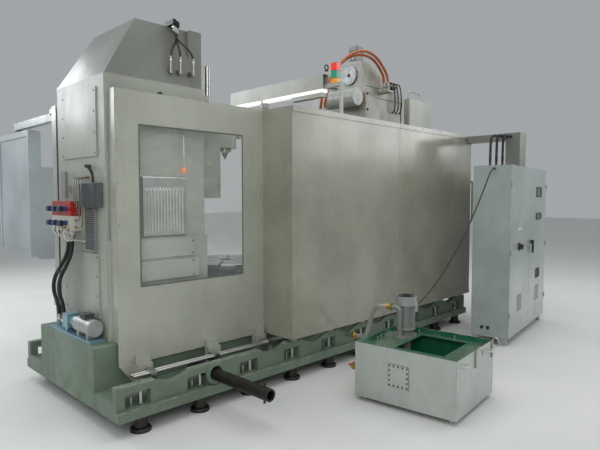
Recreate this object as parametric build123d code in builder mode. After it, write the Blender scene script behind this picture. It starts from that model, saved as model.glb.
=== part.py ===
from build123d import *
from math import cos, pi, radians, sin, sqrt, tan
import os

os.makedirs("parts", exist_ok=True)

# A gear hobbing machine for large gears. The origin is on the floor under the axis of the work table.
# +X runs along the bed to the hob column, -Y is the service side with the glazed guard, +Z is up.
# All sizes are millimetres.

# Clearances: sliding faces, running shafts and screws in plain holes
slide_gap = 0.3
shaft_gap = 0.05
screw_gap = 0.5

# Bed casting: flange on the pads, side walls, troughs and the central spine that carries the ways
bed_left = -1530
bed_right = 3200
bed_half_width = 860
floor_gap = 110
flange_height = 70
wall_inset = 30
wall_thickness = 60
wall_height = 160
trough_height = 50
spine_half_width = 500
spine_height = 370
core_wall = 60
core_count = 9
scallop_width = 300
scallop_depth = 45
bar_boss_x = -738
bar_boss_z = 265
bar_boss_radius = 85
bar_boss_height = 20
bar_hole_radius = 55
bar_hole_depth = 330
way_start = 900
way_end = 3160
way_y = 400
way_width = 90
way_height = 50

# Socket of the coolant return in the wall
socket_x = 840
socket_z = 270

# Levelling screws
first_screw_x = -1338
screw_pitch = 485
screw_count = 10
screw_y = 795
screw_radius = 16
screw_height = 275
lock_screw_radius = 7
lock_screw_offset = 70
lock_screw_height = 245
pocket_width = 190
pocket_depth = 75
pocket_height = 105
pad_radius = 72
pad_foot_height = 25
pad_body_radius = 46

# Tailstock column and its sheet hood
tail_left = -1385
tail_right = -536
tail_half_width = 430
tail_base_top = 1285
tail_base_step = 16
tail_top = 2480
tail_wall = 55
tail_way_y = 170
tail_way_width = 60
tail_way_depth = 40
tail_way_bottom = 1320
lifting_hole_x = -936
lifting_hole_z = 2370
lifting_hole_radius = 35
hood_top = 2940
hood_right = -664
hood_top_left = -1100
hood_top_front = -360
hood_top_back = 340
hood_sheet = 4
riser_front = -400
riser_back = 350

# Front guard, its window, and the enclosure panels
guard_left = -1360
guard_right = 20
guard_y = 530
guard_bottom = 380
guard_top = 2367
guard_sheet = 3
rear_return = 90
window_left = -1170
window_right = -220
window_bottom = 946
window_top = 2120
pane_thickness = 6
pane_lap = 22
panel_y = 900
panel_end = 3190
panel_seam = 3
rim_height = 47
rim_depth = 25
rim_proud = 8
sill_height = 50
sill_proud = 5
shelf_depth = 110

# Wall on the operator side with its sliding door
rear_y = 620
rear_step_x = 1050
doorway_left = -150
doorway_right = 900
doorway_bottom = 760
doorway_top = 2250
door_left = -1345
door_right = -255
door_depth = 30
door_sheet = 3
door_margin = 60
rail_height = 40
rail_depth = 44
door_window_margin = 190
door_handle_length = 320

# Work table
pedestal_side = 860
pedestal_block_height = 150
pedestal_radius = 405
pedestal_top = 900
table_radius = 420
table_top = 1000
table_bore_radius = 60
slot_count = 8
slot_width = 22
slot_depth = 40
slot_start = 130
spigot_radius = 180
spigot_length = 60

# Tailstock carriage, arm, live centre and counterbalance cylinder
carriage_front = -230
carriage_half_width = 240
carriage_bottom = 1590
carriage_top = 2300
arm_end = 90
arm_half_width = 110
arm_bottom = 2060
centre_radius = 45
centre_length = 150
centre_drop = 40
centre_cone = 60
cylinder_x = -420
cylinder_y = -320
cylinder_bottom = 2350
cylinder_top = 2700
cylinder_radius = 25
cylinder_bore = 20
rod_radius = 12
rod_top = 2630

# Hob column, its top gear box and what stands on it
column_left = 1650
column_right = 2430
column_half_width = 400
column_top = 2820
column_wall = 45
saddle_left = 1400
saddle_right = 2480
saddle_half_width = 540
saddle_height = 160
corner_strip = 60
corner_proud = 12
strip_bolt_radius = 9
strip_bolt_pitch = 175
column_way_y = 330
column_way_width = 70
column_way_depth = 40
column_way_bottom = 860
column_way_top = 2380
gearbox_top = 3120
gearbox_front = -354
gearbox_back = 20
gearbox_skirt = -410
gearbox_crown = 1800
gearbox_rear = 2040
gearbox_rear_top = 2930
cover_y = -178
cover_z = 2985
cover_radius = 108
cover_depth = 22
servo_x = 1700
servo_y = -243
servo_width = 125
servo_height = 190
drum_radius = 100
drum_x = 1520
drum_z = 2705
drum_near = -400
drum_far = 60
trunk_left = 2440
trunk_right = 2600
trunk_top = 2880
rear_box_left = 2610
rear_box_right = 3120
rear_box_bottom = 900
rear_box_top = 2830
rear_box_half_width = 360

# Hob head: axial slide, swivel, shift slide, arbor and hob
slide_front = 1450
slide_bottom = 1130
slide_top = 1770
swivel_front = 1310
swivel_radius = 265
head_z = 1450
shift_front = 900
shift_half_width = 250
shift_half_height = 110
ear_front = 700
ear_inner = 115
ear_thickness = 60
ear_half_height = 70
hob_x = 760
hob_radius = 75
hob_length = 180
hob_gashes = 12
hob_pitch = 20
hob_tooth_depth = 18
arbor_radius = 22
head_motor_radius = 95
head_motor_end = 480

# Way covers between the table and the hob column
cover_leaf_length = 400
cover_half_width = 458
cover_rise = 70
cover_sheet = 3
cover_step = 6
cover_leaves = 4

# Cross beam, its lamp strip, tray and the stack light
beam_left = 620
beam_right = 700
beam_reach = 700
beam_bottom = 2620
beam_top = 2760
beam_sheet = 4
lamp_strip_height = 30
tray_start = -267
tray_bottom = 2547
tray_height = 50
leg_width = 36
stack_reach = 150
stack_y = -660
stack_side = 76
stack_drop = 104
stack_base_height = 20
lens_height = 72

# Electrical cabinet, turned a little from the bed's line
cabinet_x = 2405
cabinet_y = -1753
cabinet_turn = 8
cabinet_width = 1630
cabinet_depth = 375
cabinet_bottom = 80
cabinet_top = 1940
cabinet_sheet = 4
cabinet_door_depth = 25
door_gap = 3
foot_side = 70
duct_width = 150
duct_height = 80
duct_z = 2270
drop_side = 170
drop_bottom = 1943
duct_x = 3150

# Coolant tank, turned a little from the bed's line
tank_x = 220
tank_y = -2320
tank_turn = 6
tank_width = 730
tank_length = 830
tank_bottom = 35
tank_top = 462
tank_sheet = 4
deck_drop = 42
hatch_left = 178
hatch_right = 650
hatch_near = 173
hatch_far = 573
plate_side = 170
plate_screws = 5
pump_u = 560
pump_v = tank_length - 150
pump_flange_radius = 90
pump_motor_radius = 62
pump_motor_height = 190
fan_cover_radius = 88
fan_cover_height = 78
pump_tube_radius = 45

# Control console that hangs beside the machine
console_left = -1265
console_near = 1500
console_depth = 118
console_width = 950
console_bottom = 1000
console_top = 2262
console_post_x = -1150
arm_tube = 70
arm_height = 2420

# Derived heights and planes
flange_top = floor_gap + flange_height
wall_top = flange_top + wall_height
trough_floor = flange_top + trough_height
spine_top = floor_gap + spine_height + flange_height
way_top = spine_top + way_height
wall_outer = bed_half_width - wall_inset
wall_inner = wall_outer - wall_thickness
screw_xs = [first_screw_x + screw_pitch * i for i in range(screw_count)]


def print_cord(name, route, section, cord):
    """Prints a cord's length, and its volume as a share of its section times its length."""
    share = cord.part.volume / (section.sketch.area * route.length)
    print(name, "length", round(route.length), "volume share", round(share, 4))


def corner_radii(points):
    """Radius of each corner's arc: 0.45 of the shorter run over the tangent of half the turn."""
    spots = [Vector(*p) for p in points]
    radii = []
    for before, here, after in zip(spots, spots[1:], spots[2:]):
        run_in = here - before
        run_out = after - here
        half_turn = radians(run_in.get_angle(run_out)) / 2
        radii.append(0.45 * min(run_in.length, run_out.length) / tan(half_turn))
    return radii


def turned(origin_x, origin_y, turn, height=0.0):
    """Level plane at a corner of a cabinet or tank that stands turned on the floor."""
    way = (cos(radians(turn)), sin(radians(turn)), 0)
    return Plane(origin=(origin_x, origin_y, height), x_dir=way, z_dir=(0, 0, 1))


# Bed: one section along X, cut by pockets, scallops, bar holes and cores open to the floor
with BuildPart() as bed:
    with BuildSketch(Plane.YZ.offset(bed_left)):
        with BuildLine():
            Polyline(
                (0, floor_gap),
                (bed_half_width, floor_gap),
                (bed_half_width, flange_top),
                (wall_outer, flange_top),
                (wall_outer, wall_top),
                (wall_inner, wall_top),
                (wall_inner, trough_floor),
                (spine_half_width, trough_floor),
                (spine_half_width, spine_top),
                (0, spine_top),
                close=True,
            )
        make_face()
        mirror(about=Plane.YZ)
    extrude(amount=bed_right - bed_left)
    long_edges = bed.edges().filter_by(Axis.X).group_by(Axis.Z)[-1]
    chamfer(long_edges, 12)
    # Pockets around the levelling screws
    pocket_y = wall_outer - pocket_depth / 2 + 0.5
    pocket_z = flange_top + pocket_height / 2
    pocket_xs = [x - lock_screw_offset / 2 for x in screw_xs]
    with Locations([(x, side * pocket_y, pocket_z) for side in (-1, 1) for x in pocket_xs]):
        Box(pocket_width, pocket_depth + 1, pocket_height, mode=Mode.SUBTRACT)
    # Holes for the screws through the flange
    with Locations([(x, side * screw_y, flange_top) for side in (-1, 1) for x in screw_xs]):
        Hole(screw_radius + screw_gap, flange_height + 2)
    # Scallops along the top of each wall, midway between the screws
    scallop_radius = ((scallop_width / 2) ** 2 + scallop_depth**2) / (2 * scallop_depth)
    scallop_xs = [x + screw_pitch / 2 for x in screw_xs[:-1]]
    scallop_z = wall_top + scallop_radius - scallop_depth
    for side in (-1, 1):
        with BuildSketch(Plane.XZ.offset(side * (wall_outer + 1))):
            with Locations([(x, scallop_z) for x in scallop_xs if abs(x - bar_boss_x) > scallop_width]):
                Circle(scallop_radius)
        extrude(amount=-side * (wall_thickness + 2), mode=Mode.SUBTRACT)
    # Boss and hole for the lifting bar on both sides
    for side in (-1, 1):
        with BuildSketch(Plane.XZ.offset(-side * wall_outer)):
            with Locations((bar_boss_x, bar_boss_z)):
                Circle(bar_boss_radius)
        extrude(amount=-side * bar_boss_height)
        with BuildSketch(Plane.XZ.offset(-side * (wall_outer + bar_boss_height))):
            with Locations((bar_boss_x, bar_boss_z)):
                Circle(bar_hole_radius)
        extrude(amount=side * bar_hole_depth, mode=Mode.SUBTRACT)
    # Cores under the spine, open to the floor, with cross ribs between them
    core_length = (bed_right - bed_left - core_wall * (core_count + 1)) / core_count
    core_width = spine_half_width - 1.5 * core_wall
    core_height = spine_top - floor_gap - core_wall
    core_y = core_wall / 2 + core_width / 2
    with Locations(((bed_left + bed_right) / 2, 0, floor_gap)):
        with GridLocations(core_length + core_wall, 2 * core_y, core_count, 2):
            Box(
                core_length,
                core_width,
                core_height,
                align=(Align.CENTER, Align.CENTER, Align.MIN),
                mode=Mode.SUBTRACT,
            )
    # Two ways for the hob column
    for side in (-1, 1):
        with Locations(((way_start + way_end) / 2, side * way_y, spine_top + way_height / 2)):
            Box(way_end - way_start, way_width, way_height)
    # Screwed socket for the coolant return
    with BuildSketch(Plane.XZ.offset(wall_outer)):
        with Locations((socket_x, socket_z)):
            Circle(24)
    extrude(amount=bed_half_width + 40 - wall_outer)
bed.part.label = "bed"
export_step(bed.part, "parts/bed.step")

# Levelling pads: a round foot and a taller body under each screw, and one pad under the table axis
screw_spots = [(x, side * screw_y) for side in (-1, 1) for x in screw_xs]
with BuildPart() as levelling_pads:
    with BuildSketch():
        with Locations([*screw_spots, (0, 0)]):
            Circle(pad_radius)
    extrude(amount=pad_foot_height)
    chamfer(levelling_pads.faces().group_by(Axis.Z)[-1].edges(), 6)
    with BuildSketch(Plane.XY.offset(pad_foot_height)):
        with Locations([*screw_spots, (0, 0)]):
            Circle(pad_body_radius)
    extrude(amount=floor_gap - pad_foot_height)
levelling_pads.part.label = "levelling_pads"
export_step(levelling_pads.part, "parts/levelling_pads.step")

# Levelling screws through the flange, each with a thinner lock screw beside it
with BuildPart() as levelling_screws:
    with BuildSketch(Plane.XY.offset(floor_gap)):
        with Locations(screw_spots):
            Circle(screw_radius)
    extrude(amount=screw_height - floor_gap)
    with BuildSketch(Plane.XY.offset(flange_top)):
        with Locations(screw_spots):
            RegularPolygon(screw_radius * 1.6, 6)
    extrude(amount=screw_radius)
    with BuildSketch(Plane.XY.offset(flange_top)):
        with Locations([(x - lock_screw_offset, y) for x, y in screw_spots]):
            Circle(lock_screw_radius)
    extrude(amount=lock_screw_height - flange_top)
levelling_screws.part.label = "levelling_screws"
export_step(levelling_screws.part, "parts/levelling_screws.step")

# Lifting bar pushed through the wall into the bed
bar_radius = 45
bar_end = -1460
bar_inner_end = -(wall_outer + bar_boss_height - bar_hole_depth + 10)
bar_z = bar_boss_z - bar_hole_radius + bar_radius
with BuildPart() as lifting_bar:
    with BuildSketch(Plane.XZ.offset(-bar_inner_end)):
        with Locations((bar_boss_x, bar_z)):
            Circle(bar_radius)
            Circle(bar_radius * 0.7, mode=Mode.SUBTRACT)
    extrude(amount=bar_inner_end - bar_end)
    with Locations((bar_boss_x, bar_end + 60, bar_z)):
        Cylinder(8, 2 * bar_radius + 50)
lifting_bar.part.label = "lifting_bar"
export_step(lifting_bar.part, "parts/lifting_bar.step")

# Two lubrication pipes along the trough with their clamp blocks
pipe_radius = 13
pipe_left = -1330
pipe_right = 300
pipe_z = trough_floor + 105
pipe_ys = (-640, -680)
clamp_xs = (-1180, -620, -60)
clamp_size = 46
with BuildPart() as shoulder_pipes:
    for y in pipe_ys:
        with BuildSketch(Plane.YZ.offset(pipe_left)):
            with Locations((y, pipe_z)):
                Circle(pipe_radius)
        extrude(amount=pipe_right - pipe_left)
    for x in clamp_xs:
        with Locations((x, sum(pipe_ys) / 2, (trough_floor + pipe_z + 22) / 2)):
            Box(clamp_size, 90, pipe_z + 22 - trough_floor)
shoulder_pipes.part.label = "shoulder_pipes"
export_step(shoulder_pipes.part, "parts/shoulder_pipes.step")

# Tailstock column: hollow casting with a stepped base, two ways, end covers and lifting holes
tail_middle = (tail_left + tail_right) / 2
with BuildPart() as tail_column:
    with BuildSketch(Plane.XY.offset(spine_top)):
        with Locations((tail_middle, 0)):
            Rectangle(tail_right - tail_left, 2 * tail_half_width)
    extrude(amount=tail_top - spine_top)
    with BuildSketch(Plane.XY.offset(spine_top)):
        with Locations((tail_middle + tail_base_step, 0)):
            Rectangle(tail_right - tail_left, 2 * tail_half_width + 2 * tail_base_step)
    extrude(amount=tail_base_top - spine_top)
    upright = tail_column.edges().filter_by(Axis.Z)
    chamfer(upright, 6)
    with BuildSketch(Plane.XY.offset(spine_top + tail_wall)):
        with Locations((tail_middle, 0)):
            Rectangle(tail_right - tail_left - 2 * tail_wall, 2 * tail_half_width - 2 * tail_wall)
    extrude(amount=tail_top - spine_top, mode=Mode.SUBTRACT)
    # Ways for the tailstock carriage
    for side in (-1, 1):
        with Locations((tail_right, side * tail_way_y, tail_way_bottom)):
            Box(
                tail_way_depth,
                tail_way_width,
                tail_top - 40 - tail_way_bottom,
                align=(Align.MIN, Align.CENTER, Align.MIN),
            )
    # Lifting holes through both side walls
    for side in (-1, 1):
        with BuildSketch(Plane.XZ.offset(-side * tail_half_width)):
            with Locations((lifting_hole_x, lifting_hole_z)):
                Circle(lifting_hole_radius)
        extrude(amount=side * tail_wall, mode=Mode.SUBTRACT)
    # Covers bolted to the end face, with rows of screw holes
    for low, high in ((700, 1180), (1900, 2400)):
        with Locations((tail_left, 0, (low + high) / 2)):
            Box(10, 620, high - low, align=(Align.MAX, Align.CENTER, Align.CENTER))
        with Locations(Plane.YZ.offset(tail_left - 10)):
            with Locations((0, (low + high) / 2)):
                with GridLocations(570, high - low - 50, 2, 4):
                    Cylinder(7, 12, mode=Mode.SUBTRACT)
tail_column.part.label = "tail_column"
export_step(tail_column.part, "parts/tail_column.step")

# Hood on the tailstock column: leaning sheet sides open below, and the upright riser beside it
riser_middle = (hood_right + tail_right) / 2
riser_width = tail_right - hood_right
hood_parts = {}
for name, inset in (("outline", 0), ("hollow", hood_sheet)):
    with BuildPart() as hood_form:
        with BuildSketch(Plane.XY.offset(tail_top)):
            with Locations(((tail_left + hood_right) / 2, 0)):
                Rectangle(hood_right - tail_left - 2 * inset, 2 * (tail_half_width - inset))
        with BuildSketch(Plane.XY.offset(hood_top - inset)):
            with Locations(((hood_top_left + hood_right) / 2, (hood_top_front + hood_top_back) / 2)):
                Rectangle(
                    hood_right - hood_top_left - 2 * inset,
                    hood_top_back - hood_top_front - 2 * inset,
                )
        loft()
        with BuildSketch(Plane.XY.offset(tail_top)):
            with Locations((riser_middle, (riser_front + riser_back) / 2)):
                Rectangle(riser_width - 2 * inset, riser_back - riser_front - 2 * inset)
        extrude(amount=hood_top - tail_top - inset)
    hood_parts[name] = hood_form.part
with BuildPart() as column_hood:
    add(hood_parts["outline"])
    add(hood_parts["hollow"], mode=Mode.SUBTRACT)
column_hood.part.label = "column_hood"
export_step(column_hood.part, "parts/column_hood.step")

# Three black hoses over the front of the hood, from elbows at its top edge down to three banjo fittings
hood_lean = (tail_half_width + hood_top_front) / (hood_top - tail_top)


def hood_face(z):
    """Y of the hood's leaning front at a height."""
    return -tail_half_width + hood_lean * (z - tail_top)


hose_top_z = 2925
hose_foot_z = 2655
fitting_height = 95
hood_hose_radius = 8
hood_hoses = {
    "hood_hose_left": (-758, -845, 34),
    "hood_hose_middle": (-788, -772, 56),
    "hood_hose_right": (-818, -668, 78),
}
hose_drops = ((2925, 0), (2888, 0), (2851, 0.09), (2812, 0.3))
hose_steps = (*hose_drops, (2768, 0.7), (2729, 0.91), (2692, 1), (2655, 1))
for name, (top_x, foot_x, stand) in hood_hoses.items():
    top_y = hood_face(hose_top_z) - stand
    foot_y = hood_face(hose_foot_z) - stand
    route_points = [(top_x + (foot_x - top_x) * s, top_y + (foot_y - top_y) * s, z) for z, s in hose_steps]
    radii = corner_radii(route_points)
    print(name, "radii", [round(r) for r in radii])
    with BuildPart() as hood_hose:
        with BuildLine():
            route = FilletPolyline(*route_points, radius=radii)
        with BuildSketch(Plane(origin=route @ 0, z_dir=route % 0)) as section:
            Circle(hood_hose_radius)
        sweep()
    print_cord(name, route, section, hood_hose)
    hood_hose.part.label = name
    export_step(hood_hose.part, f"parts/{name}.step")

# Fittings of the hood hoses: elbow blocks on the top edge and tall fittings on round bases below
with BuildPart() as hood_fittings:
    for top_x, foot_x, stand in hood_hoses.values():
        hose_y = hood_face(hose_top_z) - stand
        with BuildSketch(Plane.XY.offset(hose_top_z)):
            with Locations((top_x, hose_y)):
                Circle(hood_hose_radius + 4)
        extrude(amount=hood_top + 38 - hose_top_z)
        with BuildSketch(Plane.XY.offset(hood_top)):
            with Locations((top_x, (hose_y - hood_hose_radius - 6 + hood_top_front + 30) / 2)):
                Rectangle(28, hood_top_front + 30 - hose_y + hood_hose_radius + 6)
        extrude(amount=38)
        foot_y = hood_face(hose_foot_z) - stand
        with BuildSketch(Plane.XY.offset(hose_foot_z)):
            with Locations((foot_x, foot_y)):
                Circle(hood_hose_radius + 4)
        extrude(amount=-fitting_height)
        foot_z = hose_foot_z - fitting_height + 20
        with BuildSketch(Plane.XZ.offset(-foot_y)):
            with Locations((foot_x, foot_z)):
                Circle(20)
        extrude(amount=foot_y - hood_face(foot_z + 20) - 20)
    add(hood_parts["outline"], mode=Mode.SUBTRACT)
hood_fittings.part.label = "hood_fittings"
export_step(hood_fittings.part, "parts/hood_fittings.step")

# Counterbalance cylinder of the tailstock: open below round its rod, with a bracket to the column
with BuildPart() as tail_cylinder:
    with Locations((cylinder_x, cylinder_y, cylinder_bottom)):
        Cylinder(
            cylinder_radius,
            cylinder_top - cylinder_bottom,
            align=(Align.CENTER, Align.CENTER, Align.MIN),
        )
    with Locations((tail_right, cylinder_y, cylinder_bottom + 60)):
        Box(cylinder_x - tail_right, 60, 40, align=(Align.MIN, Align.CENTER, Align.MIN))
    with Locations((cylinder_x, cylinder_y, cylinder_bottom + 20)):
        Cylinder(
            cylinder_bore,
            cylinder_top - cylinder_bottom - 32,
            align=(Align.CENTER, Align.CENTER, Align.MIN),
            mode=Mode.SUBTRACT,
        )
    with Locations((cylinder_x, cylinder_y, cylinder_bottom)):
        Cylinder(
            rod_radius + shaft_gap,
            20,
            align=(Align.CENTER, Align.CENTER, Align.MIN),
            mode=Mode.SUBTRACT,
        )
    with Locations((cylinder_x, cylinder_y, cylinder_top)):
        Cylinder(10, 26, align=(Align.CENTER, Align.CENTER, Align.MIN))
tail_cylinder.part.label = "tail_cylinder"
export_step(tail_cylinder.part, "parts/tail_cylinder.step")

# Front guard: folded sheet with a window, a return at its left end and foot blocks in the trough
foot_block_xs = (-1180, -560, -60)
foot_block_width = 120
with BuildPart() as front_guard:
    with BuildSketch(Plane.XZ.offset(guard_y)):
        with Locations(((guard_left + guard_right) / 2, (guard_bottom + guard_top) / 2)):
            Rectangle(guard_right - guard_left, guard_top - guard_bottom)
        with Locations(((window_left + window_right) / 2, (window_bottom + window_top) / 2)):
            Rectangle(window_right - window_left, window_top - window_bottom, mode=Mode.SUBTRACT)
    extrude(amount=-guard_sheet)
    with Locations((guard_left, -guard_y, spine_top + slide_gap)):
        Box(
            guard_sheet,
            guard_y - tail_half_width - tail_base_step - slide_gap,
            guard_top - spine_top - slide_gap,
            align=(Align.MIN, Align.MIN, Align.MIN),
        )
    with Locations((guard_left, -guard_y, guard_top)):
        Box(guard_right - guard_left, 28, guard_sheet, align=(Align.MIN, Align.MIN, Align.MAX))
    for x in foot_block_xs:
        with Locations((x, -guard_y, trough_floor)):
            Box(
                foot_block_width,
                56,
                guard_bottom - trough_floor,
                align=(Align.CENTER, Align.MAX, Align.MIN),
            )
        with Locations((x, -guard_y, guard_bottom)):
            Box(foot_block_width, 30, 60, align=(Align.CENTER, Align.MAX, Align.MIN))
    with BuildSketch(Plane.XZ.offset(guard_y - guard_sheet)):
        with BuildLine():
            Polyline(
                (guard_left, guard_bottom),
                (guard_left + 120, guard_bottom),
                (guard_left + 120, trough_floor),
                close=True,
            )
        make_face()
    extrude(amount=3 * guard_sheet)
    with BuildSketch(Plane.XZ.offset(guard_y + 12)):
        with Locations((foot_block_xs[0], (guard_bottom + trough_floor) / 2)):
            Circle(13)
    extrude(amount=60, mode=Mode.SUBTRACT)
front_guard.part.label = "front_guard"
export_step(front_guard.part, "parts/front_guard.step")

# Clear pane behind the window opening
pane_y = -guard_y + guard_sheet
with BuildPart() as front_window:
    with Locations(((window_left + window_right) / 2, pane_y, (window_bottom + window_top) / 2)):
        Box(
            window_right - window_left + 2 * pane_lap,
            pane_thickness,
            window_top - window_bottom + 2 * pane_lap,
            align=(Align.CENTER, Align.MIN, Align.CENTER),
        )
front_window.part.label = "front_window"
export_step(front_window.part, "parts/front_window.step")

# Two large folded panels on the service side, each with rim, sill, shelf and feet on the bed wall
panel_length = (panel_end - guard_right - panel_seam) / 2
panel_starts = (guard_right, guard_right + panel_length + panel_seam)
with BuildPart() as front_panels:
    for start in panel_starts:
        with Locations((start, -panel_y, guard_bottom)):
            Box(
                panel_length,
                guard_sheet,
                guard_top - guard_bottom,
                align=(Align.MIN, Align.MIN, Align.MIN),
            )
        with Locations((start, -panel_y - rim_proud, guard_top - rim_height)):
            Box(panel_length, rim_depth, rim_height, align=(Align.MIN, Align.MIN, Align.MIN))
        with Locations((start, -panel_y - sill_proud, guard_bottom)):
            Box(panel_length, sill_proud + 20, sill_height, align=(Align.MIN, Align.MIN, Align.MIN))
        with Locations((start, -panel_y, guard_bottom)):
            Box(panel_length, shelf_depth, guard_sheet, align=(Align.MIN, Align.MIN, Align.MIN))
        for x in screw_xs:
            if start + 60 < x < start + panel_length - 60:
                with Locations((x, -wall_outer, wall_top)):
                    Box(
                        70,
                        38,
                        guard_bottom - wall_top,
                        align=(Align.CENTER, Align.MIN, Align.MIN),
                    )
    # Return of the first panel to the guard
    with Locations((guard_right, -panel_y, guard_bottom)):
        Box(
            guard_sheet,
            panel_y - guard_y + 30,
            guard_top - guard_bottom,
            align=(Align.MIN, Align.MIN, Align.MIN),
        )
    # Grab handle at the far end
    with BuildLine(Plane.XZ.offset(panel_y + rim_proud - 20)):
        handle_route = FilletPolyline(
            (panel_end, 1800),
            (panel_end + 70, 1800),
            (panel_end + 70, 1290),
            (panel_end, 1290),
            radius=35,
        )
    with BuildSketch(Plane(origin=handle_route @ 0, z_dir=handle_route % 0)):
        Circle(12)
    sweep()
front_panels.part.label = "front_panels"
export_step(front_panels.part, "parts/front_panels.step")

# Operator side wall: sheet with the doorway, step out round the hob column, end wall and door rails
door_top = doorway_top + door_margin
door_bottom = doorway_bottom - door_margin
with BuildPart() as rear_guard:
    with BuildSketch(Plane.XZ.offset(-rear_y)):
        with Locations(((guard_left + rear_step_x) / 2, (guard_bottom + guard_top) / 2)):
            Rectangle(rear_step_x - guard_left, guard_top - guard_bottom)
        with Locations(((doorway_left + doorway_right) / 2, (doorway_bottom + doorway_top) / 2)):
            Rectangle(doorway_right - doorway_left, doorway_top - doorway_bottom, mode=Mode.SUBTRACT)
    extrude(amount=guard_sheet)
    with Locations((guard_left, rear_y, guard_bottom)):
        Box(
            guard_sheet,
            rear_return,
            guard_top - guard_bottom,
            align=(Align.MIN, Align.MAX, Align.MIN),
        )
    with Locations((rear_step_x, rear_y - guard_sheet, guard_bottom)):
        Box(
            guard_sheet,
            panel_y - rear_y + guard_sheet,
            guard_top - guard_bottom,
            align=(Align.MIN, Align.MIN, Align.MIN),
        )
    with Locations((rear_step_x, panel_y, guard_bottom)):
        Box(
            panel_end - rear_step_x,
            guard_sheet,
            guard_top - guard_bottom,
            align=(Align.MIN, Align.MAX, Align.MIN),
        )
    with Locations((rear_step_x, panel_y + rim_proud, guard_top)):
        Box(panel_end - rear_step_x, rim_depth, rim_height, align=(Align.MIN, Align.MAX, Align.MAX))
    with Locations((panel_end - guard_sheet, -panel_y + rim_depth, guard_bottom + guard_sheet)):
        Box(
            guard_sheet,
            2 * panel_y - rim_depth,
            guard_top - guard_bottom - guard_sheet,
            align=(Align.MIN, Align.MIN, Align.MIN),
        )
    with Locations((panel_end, 0, guard_bottom)):
        Box(
            4 * guard_sheet,
            2 * spine_half_width + 2 * slide_gap,
            spine_top + slide_gap - guard_bottom,
            align=(Align.CENTER, Align.CENTER, Align.MIN),
            mode=Mode.SUBTRACT,
        )
    with Locations((rear_step_x, panel_y, guard_bottom)):
        Box(
            panel_end - rear_step_x,
            shelf_depth,
            guard_sheet,
            align=(Align.MIN, Align.MAX, Align.MIN),
        )
    for x in screw_xs:
        if x > rear_step_x:
            with Locations((x, wall_outer, wall_top)):
                Box(70, 38, guard_bottom - wall_top, align=(Align.CENTER, Align.MAX, Align.MIN))
    for x in foot_block_xs:
        with Locations((x, rear_y, trough_floor)):
            Box(
                foot_block_width,
                56,
                guard_bottom + 40 - trough_floor,
                align=(Align.CENTER, Align.MAX, Align.MIN),
            )
    # Rails that hold the sliding door above and below
    for z, grow in ((door_top + screw_gap, Align.MIN), (door_bottom - slide_gap, Align.MAX)):
        with Locations((guard_left, rear_y, z)):
            Box(rear_step_x - guard_left, rail_depth, rail_height, align=(Align.MIN, Align.MIN, grow))
    # Side lips that keep the door on its rails
    lip_y = rear_y + rail_depth
    for z in (door_top + screw_gap, door_bottom - slide_gap):
        with Locations((guard_left, lip_y, z)):
            Box(rear_step_x - guard_left, 4, 2 * 12, align=(Align.MIN, Align.MAX, Align.CENTER))
rear_guard.part.label = "rear_guard"
export_step(rear_guard.part, "parts/rear_guard.step")

# Sliding operator door: folded pan with a window cut-out and a bow handle
door_y = rear_y + 3
door_middle = (door_left + door_right) / 2
door_centre_z = (door_bottom + door_top) / 2
with BuildPart() as operator_door:
    with Locations((door_middle, door_y + door_depth / 2, door_centre_z)):
        Box(door_right - door_left, door_depth, door_top - door_bottom)
    with Locations((door_middle, door_y + (door_depth - door_sheet) / 2, door_centre_z)):
        Box(
            door_right - door_left - 2 * door_sheet,
            door_depth - door_sheet,
            door_top - door_bottom - 2 * door_sheet,
            mode=Mode.SUBTRACT,
        )
    with Locations((door_middle, door_y + door_depth, door_centre_z + 60)):
        Box(
            door_right - door_left - 2 * door_window_margin,
            3 * door_sheet,
            door_top - door_bottom - 2 * door_window_margin - 300,
            mode=Mode.SUBTRACT,
        )
    handle_x = door_right - 90
    with BuildLine(Plane.YZ.offset(handle_x)):
        door_handle_route = FilletPolyline(
            (door_y + door_depth, door_centre_z - door_handle_length / 2),
            (door_y + door_depth + 60, door_centre_z - door_handle_length / 2),
            (door_y + door_depth + 60, door_centre_z + door_handle_length / 2),
            (door_y + door_depth, door_centre_z + door_handle_length / 2),
            radius=30,
        )
    with BuildSketch(Plane(origin=door_handle_route @ 0, z_dir=door_handle_route % 0)):
        Circle(11)
    sweep()
operator_door.part.label = "operator_door"
export_step(operator_door.part, "parts/operator_door.step")

# Clear pane of the operator door
with BuildPart() as door_window:
    with Locations((door_middle, door_y + door_depth - door_sheet, door_centre_z + 60)):
        Box(
            door_right - door_left - 2 * door_window_margin + 40,
            pane_thickness,
            door_top - door_bottom - 2 * door_window_margin - 260,
            align=(Align.CENTER, Align.MAX, Align.CENTER),
        )
door_window.part.label = "door_window"
export_step(door_window.part, "parts/door_window.step")

# Table pedestal: square block on the spine, round drum above it, and the housing of the table drive
with BuildPart() as table_pedestal:
    with BuildSketch(Plane.XY.offset(spine_top)):
        RectangleRounded(pedestal_side, pedestal_side, 60)
    extrude(amount=pedestal_block_height)
    with BuildSketch(Plane.XY.offset(spine_top + pedestal_block_height)):
        Circle(pedestal_radius)
    extrude(amount=pedestal_top - spine_top - pedestal_block_height, taper=3)
    with Locations((0, -300, spine_top + pedestal_block_height)):
        Box(420, 220, 120, align=(Align.CENTER, Align.CENTER, Align.MIN))
    with Locations((0, 0, pedestal_top)):
        CounterBoreHole(table_bore_radius + 30, spigot_radius + slide_gap, spigot_length + 1, 300)
table_pedestal.part.label = "table_pedestal"
export_step(table_pedestal.part, "parts/table_pedestal.step")

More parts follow.
